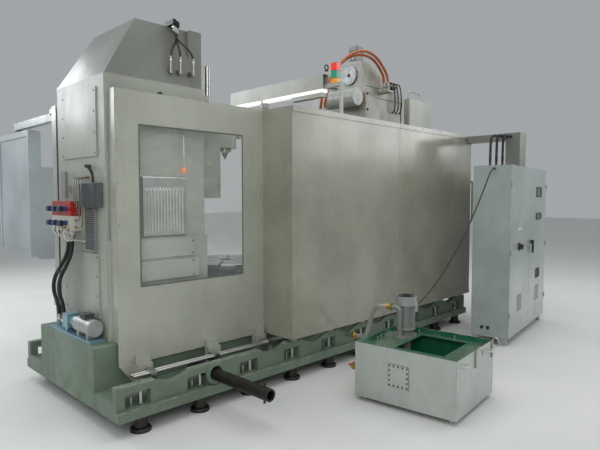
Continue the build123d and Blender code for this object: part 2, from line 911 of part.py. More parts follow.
# Rotary table: turned disc with radial slots, a centre bore and a spigot in the pedestal
table_bottom = pedestal_top + slide_gap
with BuildPart() as rotary_table:
    with BuildSketch(Plane.XY.offset(table_bottom)):
        Circle(table_radius)
    extrude(amount=table_top - table_bottom)
    rim_edges = rotary_table.edges().filter_by(GeomType.CIRCLE)
    chamfer(rim_edges, 6)
    with BuildSketch(Plane.XY.offset(table_bottom)):
        Circle(spigot_radius)
    extrude(amount=-spigot_length)
    with BuildSketch(Plane.XY.offset(table_top)):
        with PolarLocations(0, slot_count):
            with Locations(((slot_start + table_radius) / 2 + 10, 0)):
                Rectangle(table_radius - slot_start + 20, slot_width)
    extrude(amount=-slot_depth, mode=Mode.SUBTRACT)
    with BuildSketch(Plane.XY.offset(table_top)):
        Circle(table_bore_radius)
    extrude(amount=-(table_top - table_bottom + spigot_length), mode=Mode.SUBTRACT)
rotary_table.part.label = "rotary_table"
export_step(rotary_table.part, "parts/rotary_table.step")

# Tailstock: carriage on the column's ways, arm over the table, ear and rod of the counterbalance
carriage_back = tail_right + tail_way_depth + slide_gap
centre_bore_bottom = arm_bottom
with BuildPart() as tailstock:
    with Locations((carriage_back, 0, carriage_bottom)):
        Box(
            carriage_front - carriage_back,
            2 * carriage_half_width,
            carriage_top - carriage_bottom,
            align=(Align.MIN, Align.CENTER, Align.MIN),
        )
    with BuildSketch(Plane.XY.offset(arm_bottom)):
        with Locations((carriage_front, 0)):
            Rectangle(-carriage_front, 2 * arm_half_width, align=(Align.MIN, Align.CENTER))
        Circle(arm_half_width)
    extrude(amount=carriage_top - arm_bottom)
    # Sloped web between carriage and arm
    with BuildSketch(Plane.XZ.offset(-40)):
        with BuildLine():
            Polyline(
                (carriage_front, arm_bottom),
                (carriage_front + 110, arm_bottom),
                (carriage_front, arm_bottom - 260),
                close=True,
            )
        make_face()
    extrude(amount=80)
    # Gibs behind the ways
    for side in (-1, 1):
        with Locations((carriage_back, side * carriage_half_width, carriage_bottom)):
            Box(
                tail_way_depth - 8,
                carriage_half_width - tail_way_y - tail_way_width / 2 - 2,
                carriage_top - carriage_bottom,
                align=(Align.MAX, Align.MAX if side > 0 else Align.MIN, Align.MIN),
            )
    with Locations((cylinder_x, -carriage_half_width, 2200)):
        Box(80, -cylinder_y - carriage_half_width + 30, 40, align=(Align.CENTER, Align.MAX, Align.MIN))
    with Locations((cylinder_x, cylinder_y, 2240)):
        Cylinder(rod_radius, rod_top - 2240, align=(Align.CENTER, Align.CENTER, Align.MIN))
    with Locations((0, 0, arm_bottom)):
        Cylinder(
            centre_radius + shaft_gap,
            centre_length,
            align=(Align.CENTER, Align.CENTER, Align.MIN),
            mode=Mode.SUBTRACT,
        )
tailstock.part.label = "tailstock"
export_step(tailstock.part, "parts/tailstock.step")

# Live centre: shank in the arm, collar below it and a sixty degree point
with BuildPart() as live_centre:
    with BuildSketch(Plane.XZ):
        with BuildLine():
            Polyline(
                (0, arm_bottom + centre_length - slide_gap),
                (centre_radius, arm_bottom + centre_length - slide_gap),
                (centre_radius, arm_bottom - slide_gap),
                (centre_radius + 14, arm_bottom - slide_gap),
                (centre_radius + 14, arm_bottom - centre_drop + 10),
                (centre_cone * 0.58, arm_bottom - centre_drop),
                (4, arm_bottom - centre_drop - centre_cone),
                (0, arm_bottom - centre_drop - centre_cone),
                close=True,
            )
        make_face()
    revolve(axis=Axis.Z)
live_centre.part.label = "live_centre"
export_step(live_centre.part, "parts/live_centre.step")

# Hob column: saddle on the bed ways, hollow upright, bolted corner strips, ways and apron of the covers
saddle_bottom = way_top + slide_gap
saddle_top = saddle_bottom + saddle_height
column_middle = (column_left + column_right) / 2


def cover_section(leaf):
    """Outer half width and outer top of a way cover leaf, counted from the table."""
    return cover_half_width + cover_step * leaf, spine_top + cover_rise + cover_step * leaf


with BuildPart() as main_column:
    with BuildSketch(Plane.XY.offset(spine_top + slide_gap)):
        with Locations(((saddle_left + saddle_right) / 2, 0)):
            Rectangle(saddle_right - saddle_left, 2 * (spine_half_width - 2))
    extrude(amount=saddle_top - spine_top - slide_gap)
    with BuildSketch(Plane.YZ.offset(saddle_left)):
        for side in (-1, 1):
            with Locations((side * way_y, spine_top)):
                Rectangle(
                    way_width + 2 * slide_gap,
                    way_height + slide_gap,
                    align=(Align.CENTER, Align.MIN),
                )
    extrude(amount=saddle_right - saddle_left, mode=Mode.SUBTRACT)
    with BuildSketch(Plane.XY.offset(saddle_top)):
        with Locations((column_middle, 0)):
            Rectangle(column_right - column_left, 2 * column_half_width)
    extrude(amount=column_top - saddle_top)
    # Corner strips for the bolts of the ways
    for side in (-1, 1):
        with Locations((column_left, side * column_half_width, saddle_top)):
            Box(
                corner_strip,
                2 * corner_proud,
                column_top - saddle_top,
                align=(Align.MIN, Align.CENTER, Align.MIN),
            )
        bolt_count = int((column_top - saddle_top - 80) / strip_bolt_pitch)
        for i in range(bolt_count + 1):
            spot_z = column_top - 60 - strip_bolt_pitch * i
            outer = side * (column_half_width + corner_proud)
            with Locations(Location((column_left + corner_strip / 2, outer, spot_z), (90 * -side, 0, 0))):
                Hole(strip_bolt_radius, 14)
    # Recessed side panels
    for side in (-1, 1):
        with Locations((column_middle + 60, side * column_half_width, (saddle_top + column_top) / 2)):
            Box(column_right - column_left - 240, 20, column_top - saddle_top - 160, mode=Mode.SUBTRACT)
    # Hollow of the upright, open at the top under the gear box
    with BuildSketch(Plane.XY.offset(saddle_top + 40)):
        with Locations((column_middle, 0)):
            Rectangle(
                column_right - column_left - 2 * column_wall,
                2 * (column_half_width - column_wall),
            )
    extrude(amount=column_top - saddle_top, mode=Mode.SUBTRACT)
    # Ways for the axial slide
    for side in (-1, 1):
        with Locations((column_left, side * column_way_y, column_way_bottom)):
            Box(
                column_way_depth,
                column_way_width,
                column_way_top - column_way_bottom,
                align=(Align.MAX, Align.CENTER, Align.MIN),
            )
    # Apron over the last way cover leaf
    apron_half, apron_top = cover_section(cover_leaves - 1)
    with BuildSketch(Plane.YZ.offset(saddle_left)):
        with Locations((0, spine_top + slide_gap)):
            Rectangle(2 * apron_half, apron_top - spine_top - slide_gap, align=(Align.CENTER, Align.MIN))
            Rectangle(
                2 * (apron_half - cover_sheet),
                apron_top - spine_top - slide_gap - cover_sheet,
                align=(Align.CENTER, Align.MIN),
                mode=Mode.SUBTRACT,
            )
    extrude(amount=-cover_leaf_length)
main_column.part.label = "main_column"
export_step(main_column.part, "parts/main_column.step")

# Way cover leaves: each slides inside the next larger one, the smallest is fixed to the pedestal
first_leaf_x = pedestal_side / 2
leaf_shift = (saddle_left - cover_leaf_length - first_leaf_x) / (cover_leaves - 1)
for leaf in range(cover_leaves - 1):
    half, top = cover_section(leaf)
    foot = spine_top + (slide_gap if leaf else 0)
    with BuildPart() as way_cover:
        with BuildSketch(Plane.YZ.offset(first_leaf_x + leaf_shift * leaf)):
            with Locations((0, foot)):
                Rectangle(2 * half, top - foot, align=(Align.CENTER, Align.MIN))
                Rectangle(
                    2 * (half - cover_sheet),
                    top - foot - cover_sheet,
                    align=(Align.CENTER, Align.MIN),
                    mode=Mode.SUBTRACT,
                )
        extrude(amount=cover_leaf_length)
    way_cover.part.label = f"way_cover_{leaf + 1}"
    export_step(way_cover.part, f"parts/way_cover_{leaf + 1}.step")

# Gear box on the column: front face upright, crown flat, then falling to the rear and to the service side
with BuildPart() as top_gearbox:
    with BuildSketch(Plane.XY.offset(column_top)):
        with Locations((column_middle, 0)):
            Rectangle(column_right - column_left, 2 * column_half_width)
    extrude(amount=28)
    gearbox_foot = column_top + 28
    with BuildSketch(Plane.XZ.offset(-gearbox_back)):
        with BuildLine():
            Polyline(
                (column_left + 5, gearbox_foot),
                (gearbox_rear, gearbox_foot),
                (gearbox_rear, gearbox_rear_top),
                (gearbox_crown, gearbox_top),
                (column_left + 5, gearbox_top),
                close=True,
            )
        make_face()
    extrude(amount=gearbox_back - gearbox_skirt)
    # Slanted service side
    with BuildSketch(Plane.YZ.offset(column_left)):
        with BuildLine():
            Polyline(
                (gearbox_skirt - 20, gearbox_foot),
                (gearbox_skirt, gearbox_foot),
                (gearbox_front, gearbox_top),
                (gearbox_front, gearbox_top + 10),
                (gearbox_skirt - 20, gearbox_top + 10),
                close=True,
            )
        make_face()
    extrude(amount=500, mode=Mode.SUBTRACT)
    crown = top_gearbox.edges().filter_by(Axis.Y).group_by(Axis.Z)[-1]
    fillet(crown, 14)
top_gearbox.part.label = "top_gearbox"
export_step(top_gearbox.part, "parts/top_gearbox.step")

# Round bright cover on the gear box's front
with BuildPart() as disc_cover:
    with BuildSketch(Plane.YZ.offset(column_left + 5)):
        with Locations((cover_y, cover_z)):
            Circle(cover_radius)
    extrude(amount=-cover_depth)
    outer = disc_cover.faces().sort_by(Axis.X)[0]
    chamfer(outer.edges(), 5)
    with BuildSketch(Plane.YZ.offset(column_left + 5 - cover_depth)):
        with Locations((cover_y, cover_z)):
            Circle(14)
    extrude(amount=-10)
    with BuildSketch(Plane.YZ.offset(column_left + 5 - cover_depth)):
        with Locations((cover_y, cover_z)):
            with PolarLocations(cover_radius - 16, 6):
                Circle(5)
    extrude(amount=6, mode=Mode.SUBTRACT)
disc_cover.part.label = "disc_cover"
export_step(disc_cover.part, "parts/disc_cover.step")

# Servo motor on the gear box: square finned body, cap and two plug sockets
with BuildPart() as feed_servo:
    servo_centre = (servo_x + servo_width / 2, servo_y + servo_width / 2)
    with BuildSketch(Plane.XY.offset(gearbox_top)):
        with Locations(servo_centre):
            Rectangle(servo_width + 12, servo_width + 12)
    extrude(amount=14)
    with BuildSketch(Plane.XY.offset(gearbox_top + 14)):
        with Locations(servo_centre):
            RectangleRounded(servo_width, servo_width, 10)
    extrude(amount=servo_height)
    fin_count = 9
    fin_pitch = servo_width / (fin_count + 1)
    for side in (-1, 1):
        with BuildSketch(Plane.XY.offset(gearbox_top + 34)):
            with Locations(servo_centre):
                with GridLocations(fin_pitch, servo_width, fin_count, 2):
                    Rectangle(fin_pitch / 2, 12)
                with GridLocations(servo_width, fin_pitch, 2, fin_count):
                    Rectangle(12, fin_pitch / 2)
    extrude(amount=servo_height - 60, mode=Mode.SUBTRACT)
    for dy in (0, 42):
        with Locations((servo_x - 2, servo_y + 40 + dy, gearbox_top + 60)):
            Cylinder(13, 44, rotation=(0, 90, 0))
feed_servo.part.label = "feed_servo"
export_step(feed_servo.part, "parts/feed_servo.step")

# Accumulator drum lying across the column's front, with domed far end and two saddles
with BuildPart() as accumulator:
    with BuildSketch(Plane.XZ.offset(-drum_far)):
        with Locations((drum_x, drum_z)):
            Circle(drum_radius)
    extrude(amount=drum_far - drum_near)
    ends = accumulator.edges().filter_by(GeomType.CIRCLE).sort_by(Axis.Y)
    fillet(ends[-1], 55)
    fillet(accumulator.edges().filter_by(GeomType.CIRCLE).sort_by(Axis.Y)[0], 12)
    for y in (drum_near + 90, drum_far - 110):
        with Locations((drum_x + 40, y, drum_z)):
            Box(
                column_left - drum_x - 40,
                40,
                1.5 * drum_radius,
                align=(Align.MIN, Align.CENTER, Align.CENTER),
            )
accumulator.part.label = "accumulator"
export_step(accumulator.part, "parts/accumulator.step")

# Valve stack on the column top: base plate with hydraulic valves and their solenoids
valve_x = 2080
valve_count = 4
with BuildPart() as column_valves:
    with BuildSketch(Plane.XY.offset(column_top + 28)):
        with Locations((valve_x + 130, -250)):
            Rectangle(290, 180)
    extrude(amount=40)
    for i in range(valve_count):
        x = valve_x + 30 + 66 * i
        with Locations((x, -250, column_top + 68)):
            Box(50, 120, 60, align=(Align.CENTER, Align.CENTER, Align.MIN))
        with Locations((x, -250, column_top + 98)):
            Cylinder(20, 230, rotation=(90, 0, 0))
column_valves.part.label = "column_valves"
export_step(column_valves.part, "parts/column_valves.step")

# Cable trunk and rear box that ride behind the column
with BuildPart() as rear_box:
    with Locations(((rear_box_left + rear_box_right) / 2, 0, rear_box_bottom)):
        Box(
            rear_box_right - rear_box_left,
            2 * rear_box_half_width,
            rear_box_top - rear_box_bottom,
            align=(Align.CENTER, Align.CENTER, Align.MIN),
        )
    box_edges = rear_box.edges().filter_by(Axis.Z)
    fillet(box_edges, 15)
    with Locations(((rear_box_left + rear_box_right) / 2, 0, rear_box_bottom)):
        Box(
            rear_box_right - rear_box_left - 12,
            2 * rear_box_half_width - 12,
            rear_box_top - rear_box_bottom - 6,
            align=(Align.CENTER, Align.CENTER, Align.MIN),
            mode=Mode.SUBTRACT,
        )
    with Locations((column_right, -120, rear_box_bottom + 200)):
        Box(
            rear_box_left - column_right,
            300,
            trunk_top - rear_box_bottom - 200,
            align=(Align.MIN, Align.CENTER, Align.MIN),
        )
    with BuildLine(Plane.XZ.offset(300)):
        pipe_route = FilletPolyline(
            (rear_box_left + 60, rear_box_top),
            (rear_box_left + 60, rear_box_top + 110),
            (rear_box_left + 330, rear_box_top + 110),
            (rear_box_left + 330, rear_box_top),
            radius=40,
        )
    with BuildSketch(Plane(origin=pipe_route @ 0, z_dir=pipe_route % 0)):
        Circle(12)
    sweep()
rear_box.part.label = "rear_box"
export_step(rear_box.part, "parts/rear_box.step")

# Bracket and bulkhead of the two large hoses, on an arm from the column's front
bulkhead_x = 1060
bulkhead_y = -300
bulkhead_z = 2430
far_x = 1940
far_y_middle = -480
far_z = 2850
with BuildPart() as hose_bracket:
    with Locations((column_left, bulkhead_y, bulkhead_z)):
        Box(column_left - bulkhead_x + 40, 60, 30, align=(Align.MAX, Align.CENTER, Align.MAX))
    with Locations((bulkhead_x, bulkhead_y, bulkhead_z)):
        Box(120, 130, 14, align=(Align.CENTER, Align.CENTER, Align.MIN))
    for dy in (-30, 30):
        with Locations((bulkhead_x, bulkhead_y + dy, bulkhead_z + 14)):
            Cylinder(22, 40, align=(Align.CENTER, Align.CENTER, Align.MIN))
    # Sockets of the other ends, on a shelf at the column's service side
    with Locations((far_x, -column_half_width, far_z - 60)):
        Box(100, 150, 20, align=(Align.CENTER, Align.MAX, Align.MIN))
    for dy in (-30, 30):
        with Locations((far_x, far_y_middle + 0.9 * dy, far_z - 40)):
            Cylinder(22, 40, align=(Align.CENTER, Align.CENTER, Align.MIN))
hose_bracket.part.label = "hose_bracket"
export_step(hose_bracket.part, "parts/hose_bracket.step")

# Two large orange-brown hoses over the top of the gear box
hob_hose_radius = 15
for name, dy in (("hob_hose_left", -30), ("hob_hose_right", 30)):
    far_y = far_y_middle + 0.9 * dy
    top_y = -462 + 0.5 * dy
    route_points = [
        (bulkhead_x, bulkhead_y + dy, bulkhead_z + 54),
        (bulkhead_x, bulkhead_y + dy, bulkhead_z + 214),
        (1130, -355 + 0.8 * dy, 2870 - 0.3 * dy),
        (1290, -405 + 0.6 * dy, 3080 - 0.5 * dy),
        (1520, -450 + 0.5 * dy, 3185 - 0.6 * dy),
        (1740, top_y, 3160 - 0.5 * dy),
        (1880, top_y + 0.2 * dy, 3060 - 0.3 * dy),
        (far_x, far_y, 2960),
        (far_x, far_y, far_z),
    ]
    radii = corner_radii(route_points)
    print(name, "radii", [round(r) for r in radii])
    with BuildPart() as hob_hose:
        with BuildLine():
            route = FilletPolyline(*route_points, radius=radii)
        with BuildSketch(Plane(origin=route @ 0, z_dir=route % 0)) as section:
            Circle(hob_hose_radius)
        sweep()
    print_cord(name, route, section, hob_hose)
    hob_hose.part.label = name
    export_step(hob_hose.part, f"parts/{name}.step")

# Axial slide on the column's front ways
slide_back = column_left - column_way_depth - slide_gap
with BuildPart() as axial_slide:
    with Locations((slide_front, 0, slide_bottom)):
        Box(
            slide_back - slide_front,
            2 * column_half_width,
            slide_top - slide_bottom,
            align=(Align.MIN, Align.CENTER, Align.MIN),
        )
    slide_edges = axial_slide.edges().filter_by(Axis.X)
    chamfer(slide_edges, 40)
    # Gibs behind the ways
    for side in (-1, 1):
        gib_inner = column_way_y - column_way_width / 2 - slide_gap
        with Locations((slide_back, side * gib_inner, slide_bottom + 40)):
            Box(
                column_way_depth - 5,
                60,
                slide_top - slide_bottom - 80,
                align=(Align.MIN, Align.MAX if side > 0 else Align.MIN, Align.MIN),
            )
axial_slide.part.label = "axial_slide"
export_step(axial_slide.part, "parts/axial_slide.step")

# Swivel: round head plate with a bolt ring, turning on the axial slide
with BuildPart() as hob_swivel:
    with BuildSketch(Plane.YZ.offset(swivel_front)):
        with Locations((0, head_z)):
            Circle(swivel_radius)
    extrude(amount=slide_front - slide_gap - swivel_front)
    with BuildSketch(Plane.YZ.offset(swivel_front)):
        with Locations((0, head_z)):
            with PolarLocations(swivel_radius - 30, 12, start_angle=15):
                Circle(11)
    extrude(amount=20, mode=Mode.SUBTRACT)
    chamfer(hob_swivel.faces().sort_by(Axis.X)[0].outer_wire().edges(), 8)
hob_swivel.part.label = "hob_swivel"
export_step(hob_swivel.part, "parts/hob_swivel.step")

# Shift slide: body on the swivel, two ears that carry the arbor, and the hob motor
shift_back = swivel_front - slide_gap
with BuildPart() as shift_slide:
    with BuildSketch(Plane.YZ.offset(shift_front)):
        with Locations((0, head_z)):
            RectangleRounded(2 * shift_half_width, 2 * shift_half_height, 30)
    extrude(amount=shift_back - shift_front)
    for side in (-1, 1):
        with BuildSketch(Plane.XZ.offset(-side * ear_inner)):
            with Locations((hob_x, head_z)):
                Circle(ear_half_height)
            with Locations((hob_x, head_z)):
                Rectangle(shift_front - hob_x + 20, 2 * ear_half_height, align=(Align.MIN, Align.CENTER))
        extrude(amount=-side * ear_thickness)
        with BuildSketch(Plane.XZ.offset(-side * ear_inner)):
            with Locations((hob_x, head_z)):
                Circle(arbor_radius + shaft_gap)
        extrude(amount=-side * ear_thickness, mode=Mode.SUBTRACT)
    # Motor across the far side
    with BuildSketch(Plane.XZ.offset(-shift_half_width)):
        with Locations((shift_front + 180, head_z)):
            Circle(head_motor_radius)
    extrude(amount=-(head_motor_end - shift_half_width))
shift_slide.part.label = "shift_slide"
export_step(shift_slide.part, "parts/shift_slide.step")

# Hob on its arbor: rows of cutting teeth round the body, parted by straight gashes
hob_teeth_rows = int((hob_length - 10) / hob_pitch)
root_radius = hob_radius - hob_tooth_depth
arbor_end = ear_inner + ear_thickness + 6
with BuildPart() as hob:
    with BuildSketch(Plane.XY):
        with BuildLine():
            outline = [(0, -hob_length / 2), (root_radius, -hob_length / 2)]
            for row in range(hob_teeth_rows):
                foot_start = -hob_length / 2 + 5 + hob_pitch * row
                outline.append((root_radius, foot_start))
                outline.append((hob_radius, foot_start + 0.34 * hob_pitch))
                outline.append((hob_radius, foot_start + 0.62 * hob_pitch))
                outline.append((root_radius, foot_start + 0.96 * hob_pitch))
            outline.append((root_radius, hob_length / 2))
            outline.append((0, hob_length / 2))
            Polyline(*outline, close=True)
        make_face()
    revolve(axis=Axis.Y)
    # Gashes that make the cutting faces
    with BuildSketch(Plane.XZ.offset(hob_length / 2)):
        with PolarLocations(hob_radius, hob_gashes):
            Rectangle(2 * hob_tooth_depth, 0.3 * 2 * pi * hob_radius / hob_gashes)
    extrude(amount=-hob_length, mode=Mode.SUBTRACT)
    # Arbor through both ears, with a nut at each end
    with BuildSketch(Plane.XZ.offset(arbor_end)):
        Circle(arbor_radius)
    extrude(amount=-2 * arbor_end)
    for side in (-1, 1):
        with BuildSketch(Plane.XZ.offset(side * (arbor_end - 6 + slide_gap))):
            RegularPolygon(36, 6)
        extrude(amount=side * 18)
        with BuildSketch(Plane.XZ.offset(side * hob_length / 2)):
            Circle(arbor_radius + 14)
        extrude(amount=side * (ear_inner - hob_length / 2 - slide_gap))
hob.part = hob.part.moved(Location((hob_x, 0, head_z)))
hob.part.label = "hob"
export_step(hob.part, "parts/hob.step")

# Cross beam over the work area: channel, light strip, tray, lamp and its two legs
beam_middle = (beam_left + beam_right) / 2
stack_x = beam_right + stack_reach
stack_seat = beam_top - stack_drop
with BuildPart() as cross_beam:
    with Locations((beam_middle, 0, beam_bottom)):
        Box(
            beam_right - beam_left,
            2 * beam_reach,
            beam_top - beam_bottom,
            align=(Align.CENTER, Align.CENTER, Align.MIN),
        )
        Box(
            beam_right - beam_left - 2 * beam_sheet,
            2 * beam_reach + 2,
            beam_top - beam_bottom - beam_sheet,
            align=(Align.CENTER, Align.CENTER, Align.MIN),
            mode=Mode.SUBTRACT,
        )
    with Locations((beam_middle, 0, beam_bottom)):
        Box(
            beam_right - beam_left - 2 * beam_sheet,
            2 * beam_reach - 20,
            2 * lamp_strip_height,
            align=(Align.CENTER, Align.CENTER, Align.CENTER),
        )
    with Locations((beam_middle, (tray_start - beam_reach + 20) / 2, tray_bottom)):
        Box(
            beam_right - beam_left - 4 * beam_sheet,
            beam_reach - 20 + tray_start,
            beam_bottom - tray_bottom,
            align=(Align.CENTER, Align.CENTER, Align.MIN),
        )
    # Legs on the walls
    with Locations((beam_middle, -beam_reach + 30, beam_bottom)):
        Box(
            leg_width,
            panel_y - rim_depth + rim_proud - beam_reach + 40,
            40,
            align=(Align.CENTER, Align.MAX, Align.MIN),
        )
    with Locations((beam_middle, -panel_y + rim_depth - rim_proud, guard_top)):
        Box(leg_width, 20, beam_bottom + 40 - guard_top, align=(Align.CENTER, Align.MAX, Align.MIN))
    with Locations((beam_middle, rear_y - guard_sheet, guard_top - 120)):
        Box(leg_width, 30, beam_bottom - guard_top + 160, align=(Align.CENTER, Align.MAX, Align.MIN))
    # Work lamp
    with Locations((beam_middle, 170, beam_bottom - 40)):
        Cylinder(42, 90)
    # Bracket of the stack light on the beam's side
    with Locations((beam_right - beam_sheet, stack_y, stack_seat)):
        Box(
            stack_reach + beam_sheet + 42,
            stack_side + 4,
            6,
            align=(Align.MIN, Align.CENTER, Align.MAX),
        )
    with Locations((beam_right - beam_sheet, stack_y, stack_seat - 6)):
        Box(stack_reach + 24, 6, 26, align=(Align.MIN, Align.CENTER, Align.MAX))
cross_beam.part.label = "cross_beam"
export_step(cross_beam.part, "parts/cross_beam.step")

# Stack light: base and three square lenses on the bracket
with BuildPart() as stack_light:
    with BuildSketch(Plane.XY.offset(stack_seat)):
        with Locations((stack_x, stack_y)):
            Circle(14)
    extrude(amount=stack_base_height)
    stack_foot = stack_seat + stack_base_height
    for level in range(3):
        with BuildSketch(Plane.XY.offset(stack_foot + level * (lens_height + 3))):
            with Locations((stack_x, stack_y)):
                RectangleRounded(stack_side, stack_side, 10)
        extrude(amount=lens_height)
        with BuildSketch(Plane.XY.offset(stack_foot + level * (lens_height + 3) + lens_height)):
            with Locations((stack_x, stack_y)):
                RectangleRounded(stack_side - 8, stack_side - 8, 8)
        extrude(amount=3)
stack_light.part.label = "stack_light"
export_step(stack_light.part, "parts/stack_light.step")

# Electrical cabinet body: open front, floor, roof, back and mounting plate, on four feet
cabinet = turned(cabinet_x, cabinet_y, cabinet_turn)
cabinet_side = Vector(-sin(radians(cabinet_turn)), cos(radians(cabinet_turn)), 0)
cabinet_way = Vector(cos(radians(cabinet_turn)), sin(radians(cabinet_turn)), 0)
cable_start_v = 170
gland_length = 30
cabinet_front = turned(
    cabinet_x - cabinet_door_depth * sin(radians(cabinet_turn)),
    cabinet_y + cabinet_door_depth * cos(radians(cabinet_turn)),
    cabinet_turn,
)
with BuildPart() as cabinet_body:
    with BuildSketch(cabinet_front.offset(cabinet_bottom)):
        Rectangle(cabinet_width, cabinet_depth, align=(Align.MIN, Align.MIN))
    extrude(amount=cabinet_top - cabinet_bottom)
    with BuildSketch(cabinet_front.offset(cabinet_bottom + cabinet_sheet)):
        with Locations((cabinet_sheet, 0)):
            Rectangle(
                cabinet_width - 2 * cabinet_sheet,
                cabinet_depth - cabinet_sheet,
                align=(Align.MIN, Align.MIN),
            )
    extrude(amount=cabinet_top - cabinet_bottom - 2 * cabinet_sheet, mode=Mode.SUBTRACT)
    # Mounting plate on the back wall with rows of switchgear
    with BuildSketch(cabinet_front.offset(cabinet_bottom + 120)):
        with Locations((90, cabinet_depth - cabinet_sheet)):
            Rectangle(cabinet_width - 180, 20, align=(Align.MIN, Align.MAX))
    extrude(amount=cabinet_top - cabinet_bottom - 240)
    for row in range(4):
        with BuildSketch(cabinet_front.offset(cabinet_bottom + 260 + 380 * row)):
            with Locations((cabinet_width / 2, cabinet_depth - cabinet_sheet - 20 - 60)):
                with GridLocations(190, 10, 7, 1):
                    Rectangle(140, 120)
        extrude(amount=200)
    with BuildSketch(cabinet_front):
        with Locations((cabinet_width / 2, cabinet_depth / 2)):
            with GridLocations(cabinet_width - foot_side - 40, cabinet_depth - foot_side - 20, 2, 2):
                Rectangle(foot_side, foot_side)
    extrude(amount=cabinet_bottom)
    # Gland of the pump cable on the end wall
    gland_spot = cabinet.origin + cabinet_side * cable_start_v + Vector(0, 0, 1905)
    with BuildSketch(Plane(origin=gland_spot, x_dir=cabinet_side, z_dir=-cabinet_way)):
        Circle(11)
    extrude(amount=gland_length)
cabinet_body.part.label = "cabinet_body"
export_step(cabinet_body.part, "parts/cabinet_body.step")

# Two cabinet doors, each a shallow pan with louvres; the right one has a boss for the handle
leaf_width = (cabinet_width - door_gap) / 2
door_face = 0
for name, start in (("cabinet_door_left", 0), ("cabinet_door_right", leaf_width + door_gap)):
    with BuildPart() as cabinet_door:
        with BuildSketch(cabinet.offset(cabinet_bottom)):
            with Locations((start, 0)):
                Rectangle(leaf_width, cabinet_door_depth - slide_gap, align=(Align.MIN, Align.MIN))
        extrude(amount=cabinet_top - cabinet_bottom)
        with BuildSketch(cabinet.offset(cabinet_bottom + 20)):
            with Locations((start + 20, cabinet_sheet)):
                Rectangle(leaf_width - 40, cabinet_door_depth, align=(Align.MIN, Align.MIN))
        extrude(amount=cabinet_top - cabinet_bottom - 40, mode=Mode.SUBTRACT)
        # Louvres near the foot
        for level in range(8):
            with BuildSketch(cabinet.offset(cabinet_bottom + 250 + 24 * level)):
                with Locations((start + leaf_width / 2, 0)):
                    Rectangle(220, 4 * cabinet_sheet)
            extrude(amount=9, mode=Mode.SUBTRACT)
    cabinet_door.part.label = name
    export_step(cabinet_door.part, f"parts/{name}.step")

# Swing handle of the cabinet's right door, on a round base
handle_u = leaf_width + door_gap + 70
handle_plane = turned(cabinet_x, cabinet_y, cabinet_turn, 1050)
with BuildPart() as cabinet_handle:
    with BuildSketch(handle_plane):
        with Locations((handle_u, -slide_gap)):
            Rectangle(30, 34, align=(Align.CENTER, Align.MAX))
    extrude(amount=40)
    with BuildSketch(handle_plane.offset(-110)):
        with Locations((handle_u, -slide_gap - 14)):
            Rectangle(24, 20, align=(Align.CENTER, Align.MAX))
    extrude(amount=150)
cabinet_handle.part.label = "cabinet_handle"
export_step(cabinet_handle.part, "parts/cabinet_handle.step")

# Cable duct from the enclosure's end to the drop box on the cabinet roof
duct_far_y = -1480
with BuildPart() as cable_duct:
    with Locations((duct_x, -panel_y - rim_proud, duct_z)):
        Box(
            duct_width,
            -duct_far_y - panel_y - rim_proud,
            duct_height,
            align=(Align.CENTER, Align.MAX, Align.MIN),
        )
    with Locations((duct_x, duct_far_y, drop_bottom)):
        Box(
            drop_side,
            drop_side,
            duct_z + duct_height - drop_bottom,
            align=(Align.CENTER, Align.CENTER, Align.MIN),
        )
    with Locations((duct_x, -panel_y - rim_proud, duct_z + guard_sheet)):
        Box(
            duct_width - 2 * guard_sheet,
            -duct_far_y - panel_y - rim_proud,
            duct_height - 2 * guard_sheet,
            align=(Align.CENTER, Align.MAX, Align.MIN),
            mode=Mode.SUBTRACT,
        )
    with Locations((duct_x, duct_far_y, drop_bottom)):
        Box(
            drop_side - 2 * guard_sheet,
            drop_side - 2 * guard_sheet,
            duct_z + duct_height - drop_bottom - guard_sheet,
            align=(Align.CENTER, Align.CENTER, Align.MIN),
            mode=Mode.SUBTRACT,
        )
cable_duct.part.label = "cable_duct"
export_step(cable_duct.part, "parts/cable_duct.step")

# Coolant tank: sheet walls, floor, sunk deck with a hatch, lifting hooks, posts and feet
tank = turned(tank_x, tank_y, tank_turn)
deck_top = tank_top - deck_drop
tank_way = Vector(cos(radians(tank_turn)), sin(radians(tank_turn)), 0)
tank_side = Vector(-sin(radians(tank_turn)), cos(radians(tank_turn)), 0)


def tank_point(u, v, z):
    """Point of the machine from a place along the tank's width and length."""
    return Vector(tank_x, tank_y, z) + tank_way * u + tank_side * v


